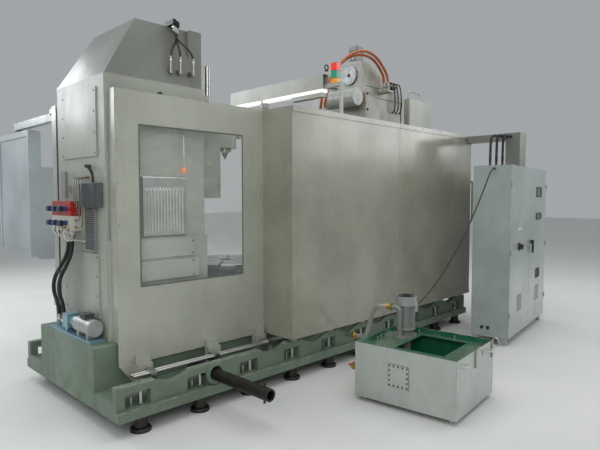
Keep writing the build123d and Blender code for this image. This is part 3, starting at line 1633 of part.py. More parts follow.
with BuildPart() as coolant_tank:
    with BuildSketch(tank.offset(tank_bottom)):
        Rectangle(tank_width, tank_length, align=(Align.MIN, Align.MIN))
    extrude(amount=tank_top - tank_bottom)
    with BuildSketch(tank.offset(tank_bottom + tank_sheet)):
        with Locations((tank_sheet, tank_sheet)):
            Rectangle(
                tank_width - 2 * tank_sheet,
                tank_length - 2 * tank_sheet,
                align=(Align.MIN, Align.MIN),
            )
    extrude(amount=deck_top - 2 * tank_sheet - tank_bottom, mode=Mode.SUBTRACT)
    with BuildSketch(tank.offset(deck_top)):
        with Locations((tank_sheet, tank_sheet)):
            Rectangle(
                tank_width - 2 * tank_sheet,
                tank_length - 2 * tank_sheet,
                align=(Align.MIN, Align.MIN),
            )
    extrude(amount=deck_drop, mode=Mode.SUBTRACT)
    with BuildSketch(tank.offset(deck_top)):
        with Locations(((hatch_left + hatch_right) / 2, (hatch_near + hatch_far) / 2)):
            Rectangle(hatch_right - hatch_left, hatch_far - hatch_near)
        with Locations((pump_u, pump_v)):
            Circle(pump_tube_radius + screw_gap)
    extrude(amount=-2 * tank_sheet, mode=Mode.SUBTRACT)
    with BuildSketch(tank):
        with Locations((tank_width / 2, tank_length / 2)):
            with GridLocations(tank_width - 120, tank_length - 120, 2, 2):
                Circle(16)
    extrude(amount=tank_bottom)
    # Lifting bows on the near and far walls
    for u in (120, tank_width - 120):
        for v, out in ((0, -1), (tank_length, 1)):
            with BuildLine():
                bow = FilletPolyline(
                    tank_point(u - 40, v - out * 2, tank_top - 60),
                    tank_point(u - 40, v + out * 34, tank_top - 60),
                    tank_point(u + 40, v + out * 34, tank_top - 60),
                    tank_point(u + 40, v - out * 2, tank_top - 60),
                    radius=16,
                )
            with BuildSketch(Plane(origin=bow @ 0, z_dir=bow % 0)):
                Circle(6)
            sweep()
coolant_tank.part.label = "coolant_tank"
export_step(coolant_tank.part, "parts/coolant_tank.step")

# Square access plate on the tank's end wall with a ring of screws
plate_v = 450
plate_z = 260
plate_plane = Plane(origin=tank_point(0, plate_v, plate_z), x_dir=-tank_side, z_dir=-tank_way)
screw_step = (plate_side - 24) / (plate_screws - 1)
with BuildPart() as access_plate:
    with BuildSketch(plate_plane):
        Rectangle(plate_side, plate_side)
    extrude(amount=4)
    with BuildSketch(plate_plane.offset(4)):
        for i in range(plate_screws):
            for j in range(plate_screws):
                if i in (0, plate_screws - 1) or j in (0, plate_screws - 1):
                    across = screw_step * (i - (plate_screws - 1) / 2)
                    along = screw_step * (j - (plate_screws - 1) / 2)
                    with Locations((across, along)):
                        Circle(5)
    extrude(amount=4)
access_plate.part.label = "access_plate"
export_step(access_plate.part, "parts/access_plate.step")

# Drain valve at the tank's far wall: body here, lever as its own piece
valve_plane = Plane(origin=tank_point(40, tank_length, 250), x_dir=-tank_way, z_dir=tank_side)
with BuildPart() as drain_valve:
    with BuildSketch(valve_plane):
        Circle(17)
    extrude(amount=60)
    with BuildSketch(valve_plane.offset(18)):
        Rectangle(40, 48)
    extrude(amount=30)
drain_valve.part.label = "drain_valve"
export_step(drain_valve.part, "parts/drain_valve.step")
lever_spot = tank_point(40, tank_length + 33, 250 + 24 + slide_gap)
lever_plane = Plane(origin=lever_spot, x_dir=-tank_way, z_dir=(0, 0, 1))
with BuildPart() as drain_lever:
    with BuildSketch(lever_plane):
        Circle(11)
        Rectangle(80, 14, align=(Align.MIN, Align.CENTER))
    extrude(amount=6)
drain_lever.part.label = "drain_lever"
export_step(drain_lever.part, "parts/drain_lever.step")

pump_top = deck_top + 60
discharge_z = 675
terminal_z = 650
# Immersion pump: flange on the deck, tube into the tank, lantern and discharge elbow
with BuildPart() as pump_body:
    with BuildSketch(tank.offset(deck_top)):
        with Locations((pump_u, pump_v)):
            Circle(pump_flange_radius)
        with Locations((pump_u - 70, pump_v)):
            RectangleRounded(140, 90, 20)
    extrude(amount=14)
    with BuildSketch(tank.offset(deck_top)):
        with Locations((pump_u, pump_v)):
            Circle(pump_tube_radius)
    extrude(amount=-(deck_top - tank_bottom - 60))
    with BuildSketch(tank.offset(deck_top + 14)):
        with Locations((pump_u, pump_v)):
            Circle(pump_tube_radius)
    extrude(amount=46)
    # Discharge elbow beside the motor, with its mouth turned to the bed
    with BuildLine():
        discharge_route = FilletPolyline(
            tank_point(pump_u - 110, pump_v, deck_top + 5),
            tank_point(pump_u - 110, pump_v, discharge_z),
            tank_point(pump_u - 110, pump_v + 70, discharge_z),
            radius=32,
        )
    with BuildSketch(Plane(origin=discharge_route @ 0, z_dir=discharge_route % 0)):
        Circle(20)
    sweep()
pump_body.part.label = "pump_body"
export_step(pump_body.part, "parts/pump_body.step")

# Pump motor: finned stator, fan cover and terminal box
with BuildPart() as pump_motor:
    with BuildSketch(tank.offset(pump_top)):
        with Locations((pump_u, pump_v)):
            Circle(pump_motor_radius + 18)
    extrude(amount=14)
    with BuildSketch(tank.offset(pump_top + 14)):
        with Locations((pump_u, pump_v)):
            Circle(pump_motor_radius)
            with PolarLocations(pump_motor_radius + 6, 24):
                Rectangle(18, 5)
    extrude(amount=pump_motor_height)
    with BuildSketch(tank.offset(pump_top + 14 + pump_motor_height)):
        with Locations((pump_u, pump_v)):
            Circle(fan_cover_radius)
    extrude(amount=fan_cover_height)
    with BuildSketch(tank.offset(terminal_z - 40)):
        with Locations((pump_u + pump_motor_radius + 8, pump_v)):
            Rectangle(62, 90, align=(Align.MIN, Align.CENTER))
        with Locations((pump_u, pump_v)):
            Rectangle(pump_motor_radius + 20, 60, align=(Align.MIN, Align.CENTER))
    extrude(amount=80)
    gland_foot = tank_point(pump_u + pump_motor_radius + 60, pump_v, terminal_z)
    with BuildSketch(Plane(origin=gland_foot, x_dir=tank_side, z_dir=tank_way)):
        Circle(11)
    extrude(amount=10 + gland_length)
pump_motor.part.label = "pump_motor"
export_step(pump_motor.part, "parts/pump_motor.step")

# Silver coolant hose from the pump's discharge to the socket in the bed wall
hose_start = tank_point(pump_u - 110, pump_v + 70, discharge_z)
hose_bend = tank_point(pump_u - 110, pump_v + 190, discharge_z)
hose_fall = Vector(socket_x, -bed_half_width - 170, socket_z) - hose_bend
coolant_points = [tuple(hose_start), tuple(hose_bend)]
for share, drop in ((0.28, 0.14), (0.52, 0.42), (0.76, 0.78), (1, 1)):
    step = Vector(hose_fall.X * share, hose_fall.Y * share, hose_fall.Z * drop)
    coolant_points.append(tuple(hose_bend + step))
coolant_points.append((socket_x, -bed_half_width - 40, socket_z))
radii = corner_radii(coolant_points)
print("coolant_hose radii", [round(r) for r in radii])
with BuildPart() as coolant_hose:
    with BuildLine():
        route = FilletPolyline(*coolant_points, radius=radii)
    with BuildSketch(Plane(origin=route @ 0, z_dir=route % 0)) as section:
        Circle(19)
    sweep()
print_cord("coolant_hose", route, section, coolant_hose)
coolant_hose.part.label = "coolant_hose"
export_step(coolant_hose.part, "parts/coolant_hose.step")

# Black cable that hangs from the cabinet's end wall to the pump's terminal box
cable_start = Vector(cabinet_x, cabinet_y, 1905) + cabinet_side * cable_start_v - cabinet_way * gland_length
cable_end = tank_point(pump_u + pump_motor_radius + 70 + gland_length, pump_v, terminal_z)
cable_sag = 170
cable_spans = 9
first_hang = cable_start - cabinet_way * 90
last_hang = cable_end + tank_way * 70
cable_points = [tuple(cable_start)]
for i in range(cable_spans + 1):
    share = i / cable_spans
    hang = first_hang + (last_hang - first_hang) * share - Vector(0, 0, 4 * cable_sag * share * (1 - share))
    cable_points.append(tuple(hang))
cable_points.append(tuple(cable_end))
with BuildPart() as pump_cable:
    radii = corner_radii(cable_points)
    print("pump_cable radii", [round(r) for r in radii])
    with BuildLine():
        route = FilletPolyline(*cable_points, radius=radii)
    with BuildSketch(Plane(origin=route @ 0, z_dir=route % 0)) as section:
        Circle(7)
    sweep()
print_cord("pump_cable", route, section, pump_cable)
pump_cable.part.label = "pump_cable"
export_step(pump_cable.part, "parts/pump_cable.step")

# Valves on the tailstock column's end face: two-colour block, bright cylinder, dark cover and wiring strip
block_depth = 80
solenoid_radius = 20
with BuildPart() as valve_manifold:
    with Locations((tail_left, 185, 1340)):
        Box(block_depth, 370, 228, align=(Align.MAX, Align.CENTER, Align.MIN))
    with Locations(Plane.YZ.offset(tail_left - block_depth)):
        with Locations((185, 1455)):
            with GridLocations(110, 110, 3, 2):
                Cylinder(
                    solenoid_radius,
                    70,
                    rotation=(0, 180, 0),
                    align=(Align.CENTER, Align.CENTER, Align.MIN),
                )
    # Bright cylinder on its clip
    with Locations((tail_left - 50, 190, 1590)):
        Cylinder(27, 210, align=(Align.CENTER, Align.CENTER, Align.MIN))
    with Locations((tail_left, 190, 1640)):
        Box(50, 40, 50, align=(Align.MAX, Align.CENTER, Align.MIN))
    # Dark cover and the strip below it
    with Locations((tail_left, -245, 1527)):
        Box(60, 290, 175, align=(Align.MAX, Align.CENTER, Align.MIN))
    with Locations((tail_left, -215, 1200)):
        Box(28, 150, 327, align=(Align.MAX, Align.CENTER, Align.MIN))
    # Sockets of the two thick hoses
    for y in (40, 110):
        with Locations((tail_left - 55, y, 1340)):
            Cylinder(20, 30, align=(Align.CENTER, Align.CENTER, Align.MAX))
valve_manifold.part.label = "valve_manifold"
export_step(valve_manifold.part, "parts/valve_manifold.step")

# Pump unit on the bed's end: plate, motor lying along Y, pump, feet and the two hose sockets
unit_x = -1462
unit_z = 650
with BuildPart() as pump_unit:
    with Locations((unit_x, -50, spine_top)):
        Box(116, 740, 20, align=(Align.CENTER, Align.CENTER, Align.MIN))
    with Locations((unit_x, -250, unit_z)):
        Cylinder(58, 260, rotation=(90, 0, 0))
    with Locations((unit_x, -60, unit_z)):
        Cylinder(40, 140, rotation=(90, 0, 0))
    with Locations((unit_x, 40, unit_z)):
        Box(96, 90, 110)
    for y in (-330, -170, 40):
        with Locations((unit_x, y, spine_top)):
            Box(80, 30, unit_z - spine_top - 20, align=(Align.CENTER, Align.CENTER, Align.MIN))
    for y in (180, 280):
        with Locations((unit_x, y, spine_top + 20)):
            Cylinder(20, 40, align=(Align.CENTER, Align.CENTER, Align.MIN))
pump_unit.part.label = "pump_unit"
export_step(pump_unit.part, "parts/pump_unit.step")

# Two thick black hoses that bow out from the valves to the pump unit
left_hose_radius = 15
left_hose_bows = (55, 55, 70, 98, 102)
left_hose_xs = (*(tail_left - bow for bow in left_hose_bows), unit_x, unit_x)
left_hose_zs = (1310, 1200, 1090, 960, 840, 730, spine_top + 60)
left_hoses = {
    "left_hose_1": (40, 40, 95, 200, 215, 180, 180),
    "left_hose_2": (110, 110, 180, 310, 330, 280, 280),
}
for name, ys in left_hoses.items():
    route_points = list(zip(left_hose_xs, ys, left_hose_zs))
    radii = corner_radii(route_points)
    print(name, "radii", [round(r) for r in radii])
    with BuildPart() as left_hose:
        with BuildLine():
            route = FilletPolyline(*route_points, radius=radii)
        with BuildSketch(Plane(origin=route @ 0, z_dir=route % 0)) as section:
            Circle(left_hose_radius)
        sweep()
    print_cord(name, route, section, left_hose)
    left_hose.part.label = name
    export_step(left_hose.part, f"parts/{name}.step")

# Console arm: post on the bed's far wall, arm out to the operator, and the bearing plate at its end
console_x = console_left + console_depth / 2
console_y = console_near + console_width / 2
arm_bottom_z = 2295
arm_post_y = wall_outer - wall_thickness / 2
pivot_radius = 16
with BuildPart() as console_arm:
    with BuildSketch(Plane.XY.offset(wall_top)):
        with Locations((console_x, arm_post_y)):
            Rectangle(arm_tube, arm_tube)
    extrude(amount=arm_bottom_z + arm_tube - wall_top)
    with BuildSketch(Plane.XY.offset(wall_top)):
        with Locations((console_x, arm_post_y)):
            Rectangle(2.4 * arm_tube, wall_thickness)
    extrude(amount=12)
    with BuildSketch(Plane.XY.offset(arm_bottom_z)):
        with Locations((console_x, arm_post_y)):
            Rectangle(arm_tube, console_y - arm_post_y, align=(Align.CENTER, Align.MIN))
        with Locations((console_x, console_y)):
            Circle(arm_tube / 2)
    extrude(amount=arm_tube)
    with Locations((console_x, console_y, arm_bottom_z + arm_tube)):
        Hole(pivot_radius + shaft_gap, arm_tube)
console_arm.part.label = "console_arm"
export_step(console_arm.part, "parts/console_arm.step")

# Console: deep slab with a raised frame on its face, cable box at its side and the pivot pin
with BuildPart() as console:
    with Locations((console_x, console_y, console_bottom)):
        Box(
            console_depth,
            console_width,
            console_top - console_bottom,
            align=(Align.CENTER, Align.CENTER, Align.MIN),
        )
    console_edges = console.edges().filter_by(Axis.X)
    fillet(console_edges, 12)
    with Locations((console_left, console_y, (console_bottom + console_top) / 2)):
        Box(
            16,
            console_width - 90,
            console_top - console_bottom - 120,
            align=(Align.CENTER, Align.CENTER, Align.CENTER),
            mode=Mode.SUBTRACT,
        )
    with Locations((console_left + console_depth, console_near, console_bottom - 30)):
        Box(130, 150, 930, align=(Align.MIN, Align.MIN, Align.MIN))
    with Locations((console_x, console_y, console_top)):
        Cylinder(
            arm_tube / 2,
            arm_bottom_z - slide_gap - console_top,
            align=(Align.CENTER, Align.CENTER, Align.MIN),
        )
    with Locations((console_x, console_y, console_top)):
        Cylinder(
            pivot_radius,
            arm_bottom_z + arm_tube + 12 - console_top,
            align=(Align.CENTER, Align.CENTER, Align.MIN),
        )
    with Locations((console_x, console_y, arm_bottom_z + arm_tube + slide_gap)):
        Cylinder(28, 16, align=(Align.CENTER, Align.CENTER, Align.MIN))
console.part.label = "console"
export_step(console.part, "parts/console.step")
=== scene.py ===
# %% [markdown]
# Gear hobbing machine. The packed model is the frame, and this script gives each piece its finish and adds the
# detail. All lengths are metres in the machine's frame: +X along the bed, -Y the service side, +Z up.

from math import cos, pi, radians, sin

import bmesh
import bpy
import numpy as np
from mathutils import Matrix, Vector


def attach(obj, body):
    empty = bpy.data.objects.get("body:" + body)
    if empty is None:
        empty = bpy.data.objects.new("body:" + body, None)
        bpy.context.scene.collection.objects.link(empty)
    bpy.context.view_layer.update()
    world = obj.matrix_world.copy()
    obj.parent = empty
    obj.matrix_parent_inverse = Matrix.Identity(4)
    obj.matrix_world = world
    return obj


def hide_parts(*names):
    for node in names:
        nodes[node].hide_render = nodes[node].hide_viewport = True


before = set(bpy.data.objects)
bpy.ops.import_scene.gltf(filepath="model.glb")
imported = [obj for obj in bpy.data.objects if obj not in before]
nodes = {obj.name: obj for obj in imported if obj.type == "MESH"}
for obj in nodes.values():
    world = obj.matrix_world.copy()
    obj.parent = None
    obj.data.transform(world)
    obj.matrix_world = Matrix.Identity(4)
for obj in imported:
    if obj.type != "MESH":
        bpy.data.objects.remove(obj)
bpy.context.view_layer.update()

# %% [markdown]
# The camera stands where the photograph was taken from, at eye height beside the tailstock column. A lens is given in
# millimetres for a sensor 36 mm wide, so a longer lens shows less. Heading and pitch are easier to adjust than Euler
# angles, so the line of sight is worked out first and the camera is turned along it.

# %% Camera
scene = bpy.context.scene
eye = (-3.08, -4.06, 1.6)
heading, pitch = radians(44.7), radians(3.05)
camera = bpy.data.objects.new("camera", bpy.data.cameras.new("camera"))
scene.collection.objects.link(camera)
camera.data.sensor_width = 36
camera.data.lens = 31.5
camera.location = eye
look = Vector((cos(heading) * cos(pitch), sin(heading) * cos(pitch), -sin(pitch)))
camera.rotation_euler = look.to_track_quat("-Z", "Y").to_euler()
scene.camera = camera
scene.view_settings.view_transform = "Standard"
print("camera looks along", [round(v, 3) for v in look])

# %% [markdown]
# Four large lamps and a dim sky light the machine evenly. Large lamps give shadows with soft edges. They are kept low
# enough that pale paint doesn't clip to white.


# %% Lamps and sky
def lamp(name, place, aim, size, watts, colour=(1, 1, 1)):
    """Rectangular area lamp at a place that shines at an aim point."""
    light = bpy.data.lights.new(name, "AREA")
    light.shape = "RECTANGLE"
    light.size, light.size_y = size
    light.energy = watts
    light.color = colour
    holder = bpy.data.objects.new(name, light)
    holder.location = place
    holder.rotation_euler = (Vector(aim) - Vector(place)).to_track_quat("-Z", "Y").to_euler()
    scene.collection.objects.link(holder)
    print(f"{name}: {watts} W, {size[0]} x {size[1]} m")


lamp("sky_panel", (1.0, -1.0, 7.5), (1.0, -0.4, 0.0), (9, 7), 330)
lamp("side_panel", (-5.5, -5.5, 4.2), (0.8, -0.6, 1.2), (5, 3.5), 150, (1.0, 0.98, 0.95))
lamp("far_panel", (-3.0, 6.5, 4.5), (0.0, 0.0, 1.6), (5, 3), 260, (0.93, 0.97, 1.0))
lamp("end_panel", (7.5, -5.5, 4.0), (2.5, -1.0, 1.2), (4, 3), 110)
world = bpy.data.worlds.new("pale_sky")
scene.world = world
world.use_nodes = True
sky = world.node_tree.nodes["Background"].inputs
sky["Color"].default_value = (0.86, 0.9, 0.93, 1)
sky["Strength"].default_value = 0.42

# %% [markdown]
# Shader maths is written with ordinary operators on wrapped sockets, so a pattern reads as its formula. Each operator
# adds one Math node. The reflected forms let a plain number stand first, as in 1 - mask.


# %% Shader values
class Value:
    """A shader output with arithmetic: each operator adds one Math node."""

    def __init__(self, graph, socket):
        self.graph = graph
        self.socket = socket

    def maths(self, operation, *others):
        """The named Math operation on this value and the others."""
        return self.graph.node("ShaderNodeMath", (self, *others), operation=operation)

    def __add__(self, other):
        return self.maths("ADD", other)

    __radd__ = __add__

    def __sub__(self, other):
        return self.maths("SUBTRACT", other)

    def __rsub__(self, other):
        return self.graph.node("ShaderNodeMath", (other, self), operation="SUBTRACT")

    def __mul__(self, other):
        return self.maths("MULTIPLY", other)

    __rmul__ = __mul__

    def __pow__(self, other):
        return self.maths("POWER", other)

    def __gt__(self, other):
        return self.maths("GREATER_THAN", other)

    def __lt__(self, other):
        return self.maths("LESS_THAN", other)

    def ramp(self, low, high, to_low=0.0, to_high=1.0):
        """Smooth step from low to high, as values to_low to to_high."""
        limits = (self, low, high, to_low, to_high)
        return self.graph.node("ShaderNodeMapRange", limits, interpolation_type="SMOOTHSTEP")


print("operators on shader values: + - * ** > <")

# %% [markdown]
# A finish is one material with its patterns. It reads Object coordinates, in metres, so a pattern keeps its true size
# on every piece and moves with it. One method makes any node, and short ones name the patterns that the paints share.


# %% Finish graph
class Finish:
    """A material: object coordinates, node maker and the inputs of its principled shader."""

    def __init__(self, name, roughness=0.5, metallic=0.0):
        self.material = bpy.data.materials.new(name)
        self.material.use_nodes = True
        self.tree = self.material.node_tree
        self.shader = self.tree.nodes["Principled BSDF"]
        self.shader.inputs["Roughness"].default_value = roughness
        self.shader.inputs["Metallic"].default_value = metallic
        self.place = self.node("ShaderNodeTexCoord", (), output="Object")
        parts = self.tree.nodes.new("ShaderNodeSeparateXYZ")
        self.tree.links.new(self.place.socket, parts.inputs[0])
        self.x, self.y, self.z = (Value(self, parts.outputs[i]) for i in range(3))

    def node(self, kind, inputs, output=0, **settings):
        """Adds a node, links or sets its inputs in order or by name, and returns one output as a Value."""
        made = self.tree.nodes.new(kind)
        for key, value in settings.items():
            setattr(made, key, value)
        pairs = inputs.items() if isinstance(inputs, dict) else enumerate(inputs)
        for key, value in pairs:
            if isinstance(value, Value):
                self.tree.links.new(value.socket, made.inputs[key])
            else:
                made.inputs[key].default_value = value
        return Value(self, made.outputs[output])

    def stretch(self, x, y, z):
        """Object coordinates scaled along each axis."""
        return self.node("ShaderNodeMapping", {"Vector": self.place, "Scale": (x, y, z)})

    def noise(self, scale, detail=3.0, rough=0.55, where=None):
        """Fractal noise from 0 to 1."""
        inputs = {"Vector": where or self.place, "Scale": scale, "Detail": detail, "Roughness": rough}
        return self.node("ShaderNodeTexNoise", inputs)

    def cells(self, scale):
        """Distance to the nearest of a scatter of points."""
        return self.node("ShaderNodeTexVoronoi", {"Vector": self.place, "Scale": scale})

    def turn_about(self, corner, degrees):
        """Makes x and y run along a turned piece's own sides, from its corner."""
        c, s = cos(radians(degrees)), sin(radians(degrees))
        x, y = self.x - corner[0], self.y - corner[1]
        self.x, self.y = x * c + y * s, y * c - x * s

    def inside(self, low, high, wobble=0.0):
        """1 inside a box from low to high, 0 outside; None leaves an axis free, and wobble shifts the box."""
        mask = None
        for axis, a, b in zip((self.x, self.y, self.z), low, high):
            if a is not None and b is not None:
                axis = axis + wobble
                part = (axis > a) * (axis < b)
                mask = part if mask is None else mask * part
        return mask

    def mix(self, share, low, high):
        """Blend of two colours."""
        return self.node("ShaderNodeMix", {0: share, 6: low, 7: high}, output=2, data_type="RGBA")

    def feed(self, name, value):
        """Connects a value to an input of the shader, or sets a constant."""
        if isinstance(value, Value):
            self.tree.links.new(value.socket, self.shader.inputs[name])
        else:
            self.shader.inputs[name].default_value = value

    def bump(self, height, strength, distance=0.001):
        """Feeds a height pattern to the shader's normal."""
        relief = {"Height": height, "Strength": strength, "Distance": distance}
        self.feed("Normal", self.node("ShaderNodeBump", relief))


print("patterns:", ", ".join(key for key in vars(Finish) if key[0] != "_"))

# %% [markdown]
# Colours are written as the display shows them, from 0 to 255, and made linear for the renderer. Most finishes also
# need the same colour a little lighter or darker.


# %% Colours
def srgb(red, green, blue):
    """Linear colour from eight-bit display values: v / 12.92 in the dark, ((v + 0.055) / 1.055)^2.4 above."""
    values = np.array((red, green, blue)) / 255
    linear = np.where(values <= 0.04045, values / 12.92, ((values + 0.055) / 1.055) ** 2.4)
    return (*[float(v) for v in linear], 1.0)


def tint(colour, factor):
    """A colour made lighter or darker, kept below white."""
    return (*[min(c * factor, 1.0) for c in colour[:3]], 1.0)


print("middle grey 128 is", round(srgb(128, 128, 128)[0], 3), "in linear light")

# %% [markdown]
# Paint on machine castings and sheet is never one flat colour. It has broad cloudy variation as wiped by hand, orange
# peel, dust that gathers low down, scratches, specks and thin runs, and edges where it is rubbed through. Zones let
# one casting carry a second colour, so the packed mesh needs no cutting. Each layer is a mask that mixes one more
# colour over the last.


# %% Paint
dust_brown, drip_brown, speck_grey = srgb(98, 93, 80), srgb(104, 96, 78), srgb(70, 68, 62)
rust_dark, rust_pale = srgb(112, 78, 60), srgb(140, 112, 92)
bare_dark, bare_pale = srgb(104, 100, 92), srgb(176, 174, 166)


def paint(
    name, colour, rough=0.35, peel=0.25, cloud=0.12, dust=0.25, coat=0.3,
    zones=(), edges=(), stains=(), runs=0.1, turn=None,
):
    """Painted metal: colour x (1 -+ cloud) by noise, then zones, dust by height, runs, scratches and edges."""
    finish = Finish(name, rough)
    if turn:
        finish.turn_about(*turn)
    broad = finish.noise(1.7, 4)
    fine = finish.noise(9, 5, 0.65)
    grain = finish.noise(60, 3, 0.6)
    base = finish.mix(broad.ramp(0.3, 0.7), tint(colour, 1 - cloud), tint(colour, 1 + cloud))
    for low, high, other in zones:
        second = finish.mix(broad.ramp(0.3, 0.7), tint(other, 0.93), tint(other, 1.04))
        base = finish.mix(finish.inside(low, high), base, second)
    patches = finish.noise(4.4, 5, 0.7)
    base = finish.mix(patches.ramp(0.52, 0.7) * 0.16, base, tint(colour, 0.72))
    grime = finish.z.ramp(0.8, 0.05) * fine.ramp(0.35, 0.75) * dust
    base = finish.mix(grime, base, dust_brown)
    drips = finish.noise(19, 3, 0.6, finish.stretch(1, 1, 0.07))
    run = drips.ramp(0.5, 0.68) * fine.ramp(0.3, 0.7) * runs
    base = finish.mix(run, base, drip_brown)
    for low, high in stains:
        spread = finish.noise(13, 5, 0.7, finish.stretch(1, 1, 0.4)).ramp(0.5, 0.66)
        leak = spread * finish.inside(low, high, (grain - 0.5) * 0.06)
        base = finish.mix(leak * 0.6, base, finish.mix(grain, rust_dark, rust_pale))
    specks = finish.cells(46).ramp(0.09, 0.03) * fine.ramp(0.5, 0.7) * (dust * 0.8)
    base = finish.mix(specks, base, speck_grey)
    lines = finish.noise(120, 1, 0.4, finish.stretch(0.9, 0.9, 0.04))
    scratch = lines.ramp(0.7, 0.74) * fine.ramp(0.55, 0.66) * 0.45
    base = finish.mix(scratch, base, tint(colour, 0.6))
    wear = None
    wobble = (grain - 0.5) * 0.012
    for low, high in edges:
        mask = finish.inside(low, high, wobble)
        wear = mask if wear is None else wear.maths("MAXIMUM", mask)
    if wear is not None:
        wear = wear * finish.noise(15, 4, 0.6).ramp(0.44, 0.6)
        base = finish.mix(wear * 0.6, base, finish.mix(grain, bare_dark, bare_pale))
    finish.feed("Base Color", base)
    wiped = finish.noise(3.2, 5, 0.6, finish.stretch(1, 1, 0.45))
    sheen = wiped.ramp(0.3, 0.75, rough - 0.09, rough + 0.13)
    finish.feed("Roughness", sheen + grime * 0.3 + run * 0.4 + scratch * 0.2)
    finish.feed("Coat Weight", coat)
    finish.feed("Coat Roughness", 0.16)
    height = finish.noise(520, 2) * 0.35 + finish.noise(4.5, 2) * 6 - scratch * 0.6
    if wear is not None:
        height = height - wear * 0.8
    finish.bump(height, peel, 0.0012)
    print(f"{name}: {len(finish.tree.nodes)} nodes")
    return finish


# %% [markdown]
# Bare steel shows where a tool or a brush has gone over it: fine lines that are long one way, oily clouds, and brown
# freckles where it rusts. A face turned on a lathe shines in rings, so its pattern follows the radius.


# %% Metals
def steel(name, colour, rough=0.3, brushed=(1, 1, 40), stain=0.2, rust=0.0):
    """Bare metal: fine lines across the stretched axes, oily stains and, with rust, brown freckles."""
    finish = Finish(name, rough, 1.0)
    lines = finish.noise(90, 3, 0.6, finish.stretch(*brushed))
    cloud = finish.noise(7, 4)
    base = finish.mix(cloud.ramp(0.35, 0.7) * stain, colour, tint(colour, 0.45))
    freckles = finish.noise(85, 5, 0.7).ramp(0.58, 0.72) * cloud.ramp(0.4, 0.65) * rust
    finish.feed("Base Color", finish.mix(freckles, base, srgb(104, 62, 36)))
    finish.feed("Metallic", 1 - freckles)
    finish.feed("Roughness", lines.ramp(0.25, 0.8, rough - 0.1, rough + 0.16) + cloud * 0.08 + freckles * 0.4)
    finish.bump(lines + freckles, 0.2, 0.0004)
    print(f"{name}: {len(finish.tree.nodes)} nodes")
    return finish


def lathe_steel(name, colour, rough, level, centre, hub):
    """Turned face: rings sin(3600 r) + sin(1130 r), where r = sqrt(da^2 + db^2) from centre, and a dark hub."""
    finish = Finish(name, rough, 1.0)
    first, second = (finish.x, finish.y) if level else (finish.y, finish.z)
    da, db = first - centre[0], second - centre[1]
    radius = (da * da + db * db) ** 0.5
    rings = (radius * 3600).maths("SINE") * 0.5 + (radius * 1130).maths("SINE") * 0.5
    cloud = finish.noise(24, 3)
    oily = finish.mix(cloud.ramp(0.4, 0.7) * 0.5, colour, tint(colour, 0.6))
    finish.feed("Base Color", finish.mix((radius < hub) * 0.85, oily, srgb(44, 44, 44)))
    finish.feed("Roughness", rings.ramp(-0.8, 0.8, rough - 0.08, rough + 0.1) + cloud * 0.06)
    finish.bump(rings, 0.3, 0.0004)
    print(f"{name}: {len(finish.tree.nodes)} nodes")
    return finish


# %% [markdown]
# Rubber blooms: a pale film in patches over a dark grain. A braided hose adds a relief of two crossed sine waves.
# Moulded plastic is plainer, with a fine leather grain made from the distance to scattered points.


# %% Rubber and plastic
def rubber(name, colour, rough=0.55, braid=0.0):
    """Hose rubber: pale bloom and fine grain; braid adds sin(900 x + 1300 z) sin(1300 z - 900 y) to the relief."""
    finish = Finish(name, rough)
    bloom = finish.noise(24, 4)
    dusty = finish.noise(6, 4, 0.7)
    pale = (*[min(1, c * 1.9 + 0.02) for c in colour[:3]], 1)
    base = finish.mix(bloom.ramp(0.4, 0.8) * 0.5, colour, pale)
    finish.feed("Base Color", finish.mix(dusty.ramp(0.5, 0.75) * 0.25, base, srgb(120, 114, 102)))
    finish.feed("Roughness", bloom.ramp(0.2, 0.8, rough - 0.08, rough + 0.14))
    wound = (finish.x * 900 + finish.z * 1300).maths("SINE") * (finish.z * 1300 - finish.y * 900).maths("SINE")
    finish.bump(finish.noise(700, 2) + bloom * 0.5 + wound * braid, 0.25, 0.0006)
    print(f"{name}: {len(finish.tree.nodes)} nodes")
    return finish


def plastic(name, colour, rough=0.4, grain=900):
    """Moulded plastic: slight fading, dust in patches and a fine leather grain."""
    finish = Finish(name, rough)
    cloud = finish.noise(12, 3)
    base = finish.mix(cloud * 0.35, colour, tint(colour, 0.72))
    dusty = finish.noise(5, 4).ramp(0.55, 0.75)
    finish.feed("Base Color", finish.mix(dusty * 0.2, base, srgb(128, 124, 114)))
    finish.feed("Roughness", cloud.ramp(0.2, 0.8, rough - 0.06, rough + 0.1))
    finish.bump(finish.cells(grain), 0.3, 0.0003)
    print(f"{name}: {len(finish.tree.nodes)} nodes")
    return finish


# %% [markdown]
# The windows are clear plastic sheet, wiped often: nearly see-through by Alpha, with a reflecting coat and streaks. A
# signal lens is glossy coloured plastic with fine level ribs, and glows a little.


# %% Window and lens
def glass(name):
    """Clear sheet with faint wipe marks: mostly see-through, with a reflecting coat."""
    finish = Finish(name, 0.06)
    wipes = finish.noise(5, 5, 0.7, finish.stretch(1, 1, 2.4))
    finish.feed("Base Color", finish.mix(wipes * 0.4, srgb(214, 226, 220), srgb(240, 244, 240)))
    finish.feed("Roughness", wipes.ramp(0.35, 0.8, 0.03, 0.2))
    finish.feed("Alpha", wipes.ramp(0.4, 0.9, 0.06, 0.2))
    finish.feed("Coat Weight", 1.0)
    print(f"{name}: {len(finish.tree.nodes)} nodes")
    return finish


